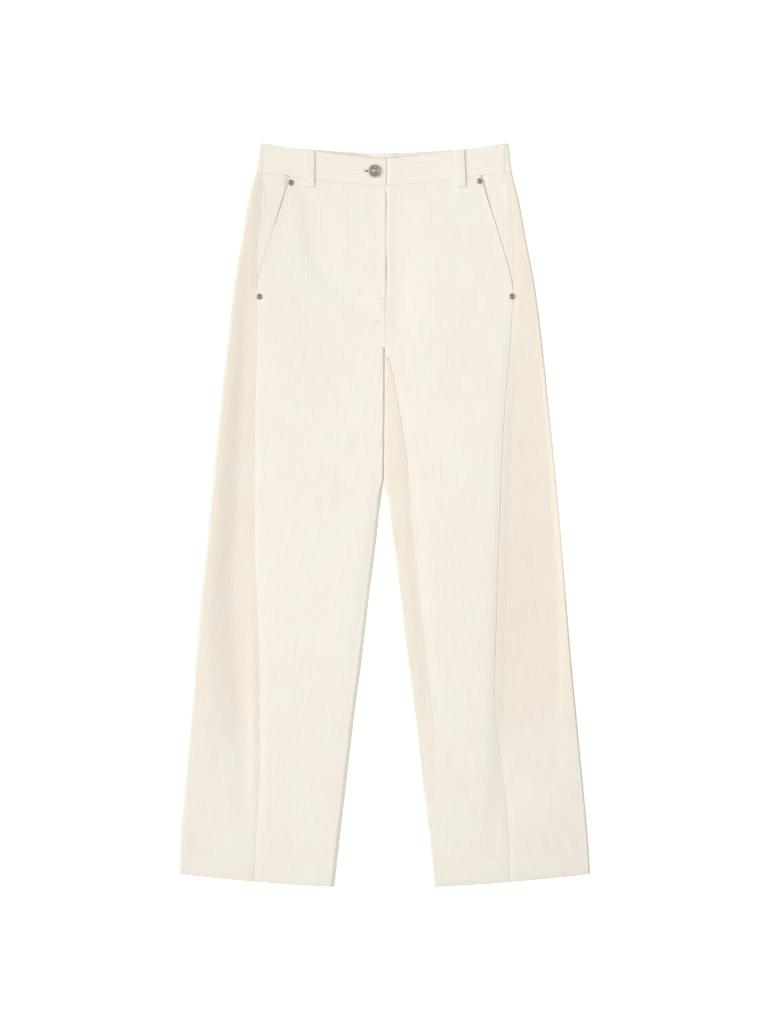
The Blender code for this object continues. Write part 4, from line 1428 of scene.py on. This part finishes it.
def cut_buttonhole(band):
    """An eyelet and a gaping slit through the overlapping band, for the button's shank."""
    x, y = BUTTON
    middle = float(top_height(x, y))
    deselect()
    cutters = []
    for add_cutter, options, back, half_length, half_width in (
        (bpy.ops.mesh.primitive_cylinder_add, {"vertices": 32}, 0, EYELET_RADIUS, EYELET_RADIUS),
        (bpy.ops.mesh.primitive_cube_add, {}, SLIT_LENGTH / 2, SLIT_LENGTH / 2, SLIT_WIDTH / 2),
        (bpy.ops.mesh.primitive_cylinder_add, {"vertices": 24}, *GAPE),
    ):
        add_cutter(location=((x - back) * MM, y * MM, middle * MM), **options)
        cutters.append(bpy.context.object)
        cutters[-1].scale = (half_length * MM, half_width * MM, CUT_DEPTH / 2 * MM)
    for cutter in cutters:
        cut = band.modifiers.new("buttonhole", "BOOLEAN")
        cut.operation = "DIFFERENCE"
        cut.object = cutter
        with bpy.context.temp_override(object=band, active_object=band, selected_objects=[band]):
            bpy.ops.object.modifier_apply(modifier=cut.name)
        bpy.data.objects.remove(cutter)


# ---------------- stitches

STITCH = 2.7  # a stitch's length
STITCH_SPACE = 0.8  # and its distance from the next
THREAD_RADIUS = 0.27
HOLE_THREAD_RADIUS = 0.26
HOLE_STITCH = 1.7
HOLE_STEP = 0.5
HOLE_MARGIN = 0.3
HOLE_EDGE = 0.55  # where the stitches start beside the slit, as a share of its width
HOLE_RISE = 0.12
HOLE_TURNS = (-150, 150, 9)  # round the eyelet: the first and last turn and the step, in degrees
TACK_LENGTH = 6.0
TACK_WIDTH = 1.9
TACK_STEP = 0.55
TACK_RISE = 0.2
HEM_STITCH_DIP = 0.25
POCKET_LINES = (2.0, 8.4)  # how far inside a pocket's mouth its two rows run
POCKET_LINE_TOP = 140.0  # they start below the waist seam as it is this far out
POCKET_LINE_END = 0.4  # and end higher by this share of their distance
BAND_LINES = {"right": (1 - BAND_SEAM_OUT, BAND_LAP - 1.5), "left": (BAND_LAP + 4, BAND_SEAM_OUT - 1)}
BACK_BAND_LINE = 165.0
UNDER_RISE = 0.1
LOOP_LINE_INSET = 1.5
LOOP_BARS = (3.0, 3.5)  # how far from its lower and upper end a loop is barred
LOOP_BAR_HALF = 0.9
POINTS = {  # how many points each line of stitching is led through
    "pocket": 70, "fly": 80, "hem": 240, "band": 160, "band end": 30, "back band": 300, "loop": 50,
    "bar": 20,
}
STITCH_RINGS = table(  # the rings of points that make one stitch
    "along size sink",
    (-0.5, 0.5, 0.22),
    (-0.34, 1, 0),
    (0.34, 1, 0),
    (0.5, 0.5, 0.22),
)
RING_SIDES = 6
IN_PILE = 0.62  # how high thread lies in the pile, as a share of a rib


def stitch_ends(line):
    """The two ends of each stitch along a line of points."""
    line = np.asarray(line, float)
    reach = np.concatenate([[0], np.cumsum(np.linalg.norm(np.diff(line, axis=0), axis=1))])
    count = max(1, round(reach[-1] / (STITCH + STITCH_SPACE)))
    middle = (np.arange(count) + 0.5) * reach[-1] / count
    starts, ends = (
        np.stack([np.interp(middle + half, reach, line[:, i]) for i in range(3)], 1)
        for half in (-STITCH / 2, STITCH / 2)
    )
    return starts, ends


def stitch_points(starts, ends, radius):
    """The rings of points round each stitch."""
    axis = ends - starts
    length = np.linalg.norm(axis, axis=1, keepdims=True)
    ahead = axis / length
    side = np.cross(ahead, (0.0, 0.0, 1.0))
    side = side / np.linalg.norm(side, axis=1, keepdims=True)
    over = np.cross(side, ahead)
    middle = (starts + ends) / 2
    turn = np.arange(RING_SIDES) / RING_SIDES * 2 * math.pi
    points = []
    for along, size, sink in zip(*STITCH_RINGS.values()):
        ring = middle + axis * along - over * sink
        around = side[:, None] * np.cos(turn)[:, None] + over[:, None] * np.sin(turn)[:, None]
        points.append(ring[:, None] + around * radius * size)
    return np.stack(points, 1)


def stitch_faces(rings):
    """The faces of one stitch, closed at both ends."""
    faces = []
    for ring in range(rings - 1):
        for i in range(RING_SIDES):
            after = (i + 1) % RING_SIDES
            low, high = ring * RING_SIDES, (ring + 1) * RING_SIDES
            faces.append((low + i, low + after, high + after, high + i))
    last = (rings - 1) * RING_SIDES
    faces += [(3, 2, 1, 0), (5, 4, 3, 0)]
    faces += [(last, last + 1, last + 2, last + 3), (last, last + 3, last + 4, last + 5)]
    return np.array(faces)


def make_stitches(name, node, runs, radius=THREAD_RADIUS):
    """All the stitches of one place, joined: each run is the starts and ends of its stitches."""
    starts, ends = (np.concatenate([run[i] for run in runs]) for i in (0, 1))
    points = stitch_points(starts, ends, radius)
    count, rings = points.shape[:2]
    faces = stitch_faces(rings)[None] + np.arange(count)[:, None, None] * rings * RING_SIDES
    made = make_mesh(name, points.reshape(-1, 3) * MM, faces.reshape(-1, 4), THREAD)
    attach(made, "root")
    SEWN.setdefault(node, []).append(made)


def on_top(x, y, rise=0.0):
    """Points in the pile of the top layer."""
    x, y = np.broadcast_arrays(np.asarray(x, float), np.asarray(y, float))
    return np.stack([x, y, top_height(x, y) + RIB * IN_PILE + rise], 1)


def bar_tack(x, y, angle):
    """A short bar of close stitches across a line that would otherwise tear."""
    ahead = np.array((math.cos(angle), math.sin(angle)))
    across = np.array((-ahead[1], ahead[0]))
    starts, ends = [], []
    for at in np.arange(-TACK_LENGTH / 2, TACK_LENGTH / 2, TACK_STEP):
        for points, side in ((starts, -0.5), (ends, 0.5)):
            points.append(np.array((x, y)) + ahead * at + across * side * TACK_WIDTH)
    return [on_top(*np.array(points).T, TACK_RISE) for points in (starts, ends)]


J_STITCH = table(  # the fly's stitching, from the waist seam down to the centre seam
    "x y",
    (-51, 460),
    (-51, 400),
    (-50.6, 336),
    (-48.3, 318),
    (-41.4, 301.6),
    (-34.7, 287),
    (-26.5, 278.5),
    (-18.6, 273.6),
    (-9.8, 270),
    (-1.5, 268.5),
)
J_SPACE = 5.5
FLY_LINES = (  # straight rows of stitching: x, the upper and lower end, and the points between
    (8.4, 386, 305, 30),
    (-FLY_LAP - 2, WAIST_Y - 3, FLY_END_Y + 2, 60),
    (-2.2, FLY_END_Y - 3, CROTCH_Y + 4, 20),
)
FLY_TACKS = table(  # x, y and the way each bar runs, in degrees
    "x y angle",
    (-34.7, 312.6, 90),
    (-3.9, 303, 0),
    (-9.1, 270.8, 100),
    (8, 304, 90),
)


def j_line(inset):
    """The fly's curved stitching, or a line inside it."""
    x, y = J_STITCH["x"], J_STITCH["y"]
    run = np.stack([np.gradient(x), np.gradient(y)], 1)
    run = run / np.linalg.norm(run, axis=1, keepdims=True)
    reach = np.concatenate([[0], np.cumsum(np.hypot(np.diff(x), np.diff(y)))])
    at = np.linspace(0, reach[-1], POINTS["fly"])
    x = smooth(reach, x - run[:, 1] * inset, at)
    y = smooth(reach, y + run[:, 0] * inset, at)
    return on_top(x, y)


def make_fly_stitches():
    rows = [stitch_ends(j_line(0)), stitch_ends(j_line(J_SPACE))]
    for x, top, bottom, count in FLY_LINES:
        rows.append(stitch_ends(on_top(x, np.linspace(top, bottom, count))))
    for x, y, angle in zip(*FLY_TACKS.values()):
        rows.append(bar_tack(x, y, math.radians(angle)))
    make_stitches("stitches_fly", "front_right", rows)


def make_pocket_stitches():
    for side, sign in SIGN.items():
        rows = []
        for inside in POCKET_LINES:
            top, bottom = waist_seam(POCKET_LINE_TOP) - 3, POCKET_END_Y + inside * POCKET_LINE_END
            y = np.linspace(top, bottom, POINTS["pocket"])
            rows.append(stitch_ends(on_top(sign * (front_outer(side, y) - inside), y)))
        make_stitches(f"stitches_pocket_{side}", f"front_{side}", rows)


def hem_line(side, cut):
    """The hem's stitching along one panel, as points on the cloth."""
    level = np.array([HEM_INNER_Y + HEM_DEPTH])
    start, end = (settle(level, edge, cut, side)[0][0] for edge in (cut.first, cut.last))
    path = np.linspace(start, end, POINTS["hem"])
    _, y = settle(np.full(len(path), level), lambda side, y: path, cut, side)
    rise = RIB * (IN_PILE - cut.ribs(side, path, y)[1]) - HEM_STITCH_DIP
    return surface_points(side, path, y, rise, cut.place)


def make_hem_stitches():
    for side in SIGN:
        for part, cut in (("front", FRONT), ("back", BACK)):
            name = f"{part}_{side}"
            make_stitches(f"stitches_hem_{name}", name, [stitch_ends(hem_line(side, cut))])


def make_band_stitches():
    """Stitching along both edges of the band, on the front and under the back."""
    rise = BAND_PROUD - STITCH_DIP * 0.5
    for side, ends in BAND_LINES.items():
        x = np.linspace(*ends, POINTS["band"])
        rows = [
            stitch_ends(on_top(x, front_top(x) - BAND_STITCH, rise)),
            stitch_ends(on_top(x, waist_seam(x) + BAND_STITCH, rise)),
        ]
        if side == "right":
            end_y = np.linspace(waist_seam(0) + 2, front_top(0) - 2, POINTS["band end"])
            rows.append(stitch_ends(on_top(BAND_LAP - 2, end_y, BAND_PROUD - UNDER_RISE)))
        make_stitches(f"stitches_band_{side}", f"waistband_front_{side}", rows)
    x = np.linspace(-BACK_BAND_LINE, BACK_BAND_LINE, POINTS["back band"])
    rows = [
        stitch_ends(below(x, back_top(x) - BAND_STITCH)),
        stitch_ends(below(x, back_seam(x) + BAND_STITCH)),
    ]
    make_stitches("stitches_band_back", "waistband_back", rows)


def below(x, y):
    """Points in the pressed pile of the back's underside."""
    return np.stack([x, y, back_lift(x, y) + THREAD_RADIUS + UNDER_RISE], 1)


def loop_rows(on_loop, top, bottom):
    """Stitching along both edges of a loop and a bar across each end."""
    rows = []
    for across in (-1, 1):
        line = []
        for y in np.linspace(top - LOOP_LINE_INSET, bottom + LOOP_LINE_INSET, POINTS["loop"]):
            middle, height = on_loop(y)
            line.append((middle + across * (LOOP_WIDTH / 2 - LOOP_STITCH), y, height))
        rows.append(stitch_ends(line))
    reach = LOOP_WIDTH / 2 - LOOP_LINE_INSET
    for y in (bottom + LOOP_BARS[0], top - LOOP_BARS[1]):
        middle, height = on_loop(y)
        x = np.linspace(middle - reach, middle + reach, POINTS["bar"])
        ends = (y - LOOP_BAR_HALF, y + LOOP_BAR_HALF)
        rows.append([np.stack([x, x * 0 + end, x * 0 + height], 1) for end in ends])
    return rows


def make_loop_stitches():
    rise = LOOP_WALL + RIB * IN_PILE - STITCH_DIP * 0.6
    for side in FRONT_LOOPS:
        def on_loop(y):
            middle, base = loop_base(side, y)
            return middle, base + rise

        rows = loop_rows(on_loop, *front_loop_span(side))
        make_stitches(f"stitches_loop_front_{side}", f"belt_loop_front_{side}", rows)
    for side, middle in BACK_LOOPS.items():
        rows = loop_rows(lambda y: (middle, THREAD_RADIUS + UNDER_RISE / 2), *back_loop_span(side))
        make_stitches(f"stitches_loop_back_{side}", f"belt_loop_back_{side}", rows)


def make_buttonhole_stitches():
    """Close stitches all round the eyelet and the slit."""
    x, y = BUTTON
    inner, outer = [], []
    tip = x - SLIT_LENGTH - HOLE_MARGIN
    for side in (-1, 1):
        for at in np.arange(tip, x - EYELET_RADIUS, HOLE_STEP):
            open_share = 1 - min(abs(at - x + GAPE[0]) / GAPE[1], 1) ** 2
            edge = max(SLIT_WIDTH * HOLE_EDGE, GAPE[2] * math.sqrt(open_share))
            inner.append((at, y + side * edge))
            outer.append((at, y + side * (edge + HOLE_STITCH)))
    for angle in np.radians(np.arange(*HOLE_TURNS)):
        way = np.array((math.cos(angle), math.sin(angle)))
        inner.append(np.array(BUTTON) + way * EYELET_RADIUS)
        outer.append(np.array(BUTTON) + way * (EYELET_RADIUS + HOLE_STITCH))
    run = [on_top(*np.array(points).T, BAND_PROUD + HOLE_RISE) for points in (inner, outer)]
    make_stitches("stitches_buttonhole", "waistband_front_right", [run], radius=HOLE_THREAD_RADIUS)


# ---------------- metal


def deselect():
    bpy.ops.object.select_all(action="DESELECT")


def start_disc(name, radius, sides, place):
    """A disc that is closed on its axis, with its rim selected in edit mode."""
    deselect()
    bpy.ops.mesh.primitive_circle_add(
        vertices=sides, radius=radius * MM, location=(place[0] * MM, place[1] * MM, 0)
    )
    made = bpy.context.object
    made.name = name
    bpy.ops.object.mode_set(mode="EDIT")
    bpy.ops.mesh.select_all(action="SELECT")
    bpy.ops.transform.translate(value=(0, 0, place[2] * MM))
    bpy.ops.mesh.extrude_region_move()
    bpy.ops.mesh.merge(type="CENTER")
    bpy.ops.mesh.select_all(action="DESELECT")
    bpy.ops.object.mode_set(mode="OBJECT")
    for vertex in made.data.vertices:
        vertex.select = len([e for e in made.data.edges if vertex.index in e.vertices]) < sides
    bpy.ops.object.mode_set(mode="EDIT")
    return made


def round_edges(made):
    bevel = made.modifiers.new("rounding", "BEVEL")
    bevel.width = METAL_BEVEL * MM
    bevel.segments = 2
    bevel.angle_limit = math.radians(BEVEL_ANGLE)
    bpy.ops.object.modifier_apply(modifier=bevel.name)
    bpy.ops.object.shade_smooth_by_angle(angle=math.radians(SMOOTH_ANGLE))


def turned(name, radius, height, sides, place, recess):
    """A round metal piece, drawn out ring by ring from a disc and closed on its axis. Faces within the
    recess's radius and below its height keep their patina."""
    made = start_disc(name, radius[0], sides, (place[0], place[1], place[2] + height[0]))
    for grow, step in zip(radius[1:] / radius[:-1], np.diff(height)):
        bpy.ops.mesh.extrude_region_move()
        bpy.ops.transform.resize(value=(grow, grow, 1))
        bpy.ops.transform.translate(value=(0, 0, step * MM))
    bpy.ops.mesh.extrude_region_move()
    bpy.ops.mesh.merge(type="CENTER")
    bpy.ops.mesh.select_all(action="SELECT")
    bpy.ops.mesh.normals_make_consistent(inside=False)
    bpy.ops.object.mode_set(mode="OBJECT")
    bpy.ops.object.transform_apply(location=True, rotation=True, scale=True)
    round_edges(made)
    made.data.materials.append(SILVER)
    made.data.materials.append(PATINA)
    for face in made.data.polygons:
        across = math.hypot(face.center.x / MM - place[0], face.center.y / MM - place[1])
        low = face.center.z / MM - place[2] < recess[1]
        face.material_index = int(across < recess[0] and low)
    return made


METAL_BEVEL = 0.09
BEVEL_ANGLE = 25.0
SMOOTH_ANGLE = 40.0
SHANK_REACH = 0.2  # how far the shank reaches into the button
BUTTON_SIDES = 64
RIVET_SIDES = 40
BUTTON_RINGS = table(  # the rim, a groove, a ring, another groove and the boss
    "inset height",
    (1.2, 0),
    (0.3, 0.35),
    (0, 0.9),
    (0, 1.8),
    (0.3, 2.3),
    (0.8, 2.6),
    (1.6, 2.6),
    (2.1, 1.95),
    (2.9, 1.8),
    (3.3, 2.3),
    (3.9, 2.4),
    (4.4, 2.15),
    (4.8, 1.8),
    (5.7, 1.8),
    (6.2, 2.3),
    (7, 2.55),
    (8, 2.65),
)
BUTTON_RECESS = (1.7, 2.0)  # its patina starts this far in from the edge and below this height
RIVET_RINGS = table(
    "inset height",
    (0.2, 0),
    (0, 0.15),
    (0, 0.4),
    (0.35, 0.75),
    (1, 1.1),
    (1.4, 1.1),
    (1.7, 0.55),
    (2.8, 0.5),
    (3.1, 0.95),
    (3.6, 1.1),
)
RIVET_RECESS = (1.35, 0.7)


def make_button():
    """A metal button with a rim and a ringed dish, whose shank passes through the buttonhole."""
    seat = RIB + SEAM_GAP
    radius = np.append([SHANK_RADIUS] * 2, BUTTON_RADIUS - BUTTON_RINGS["inset"])
    height = np.append([SEAM_GAP - BAND_SINK, seat + SHANK_REACH], seat + BUTTON_RINGS["height"])
    x, y = BUTTON
    place = (x, y, float(top_height(x, y)) + BAND_PROUD)
    recess = (BUTTON_RADIUS - BUTTON_RECESS[0], seat + BUTTON_RECESS[1])
    made = turned("button_shell", radius, height, BUTTON_SIDES, place, recess)
    dress(made, "button")


def make_rivets():
    """Small rivets, each a ring round a dimple with a raised post end."""
    radius = RIVET_RADIUS - RIVET_RINGS["inset"]
    recess = (RIVET_RADIUS - RIVET_RECESS[0], RIVET_RECESS[1])
    for node, (x, y) in RIVETS.items():
        place = (x, y, float(top_height(x, y)) + RIB + SEAM_GAP)
        made = turned(f"{node}_shell", radius, RIVET_RINGS["height"], RIVET_SIDES, place, recess)
        dress(made, node)


make_panels()
make_facings()
cut_buttonhole(make_front_bands())
make_back_band()
make_hidden_strip("fly_zip", ZIP_STRIP)
make_hidden_strip("fly_underlap", UNDERLAP_STRIP)
make_button()
make_rivets()
make_fly_stitches()
make_pocket_stitches()
make_hem_stitches()
make_band_stitches()
make_loop_stitches()
make_buttonhole_stitches()
for loop_side in FRONT_LOOPS:
    make_front_loop(loop_side)
for loop_side in BACK_LOOPS:
    make_back_loop(loop_side)

# ---------------- the studio


def hang_light(name, kind, energy):
    lamp = bpy.data.lights.new(name, kind)
    lamp.energy = energy
    light = bpy.data.objects.new(name, lamp)
    bpy.context.scene.collection.objects.link(light)
    return light


def make_floor():
    bpy.ops.mesh.primitive_plane_add(size=FLOOR_SIZE, location=(0, 0, FLOOR_Z))
    floor = bpy.context.object
    floor.name = "floor"
    floor.data.materials.append(ACRYLIC)
    bpy.ops.object.transform_apply(location=True, rotation=False, scale=False)


def make_lights():
    world = bpy.data.worlds.new("studio")
    bpy.context.scene.world = world
    world.use_nodes = True
    sky = world.node_tree.nodes["Background"]
    plug(world.node_tree, sky, Color=(1, 1, 1, 1), Strength=SKY_STRENGTH)
    for source, strength, angle in SUNS:
        sun = hang_light("soft_light", "SUN", strength)
        sun.data.angle = math.radians(angle)
        sun.rotation_euler = Vector(source).to_track_quat("Z", "Y").to_euler()
    strip_light = hang_light("strip_light", "AREA", STRIP_LIGHT_WATTS)
    strip_light.data.shape = "RECTANGLE"
    strip_light.data.size, strip_light.data.size_y = STRIP_LIGHT_SIZE
    strip_light.location = STRIP_LIGHT_AT
    strip_light.rotation_euler.z = math.radians(STRIP_LIGHT_TURN)


def make_camera():
    """Straight above the trousers."""
    camera = bpy.data.cameras.new("camera")
    camera.sensor_width = SENSOR
    camera.lens = SENSOR * (CAMERA_HEIGHT - MIDDLE_Z) / VIEW_LENGTH
    holder = bpy.data.objects.new("camera", camera)
    holder.location = (0, VIEW_MIDDLE_Y, CAMERA_HEIGHT)
    bpy.context.scene.collection.objects.link(holder)
    bpy.context.scene.camera = holder
    bpy.context.scene.view_settings.view_transform = "Standard"


make_floor()
make_lights()
make_camera()
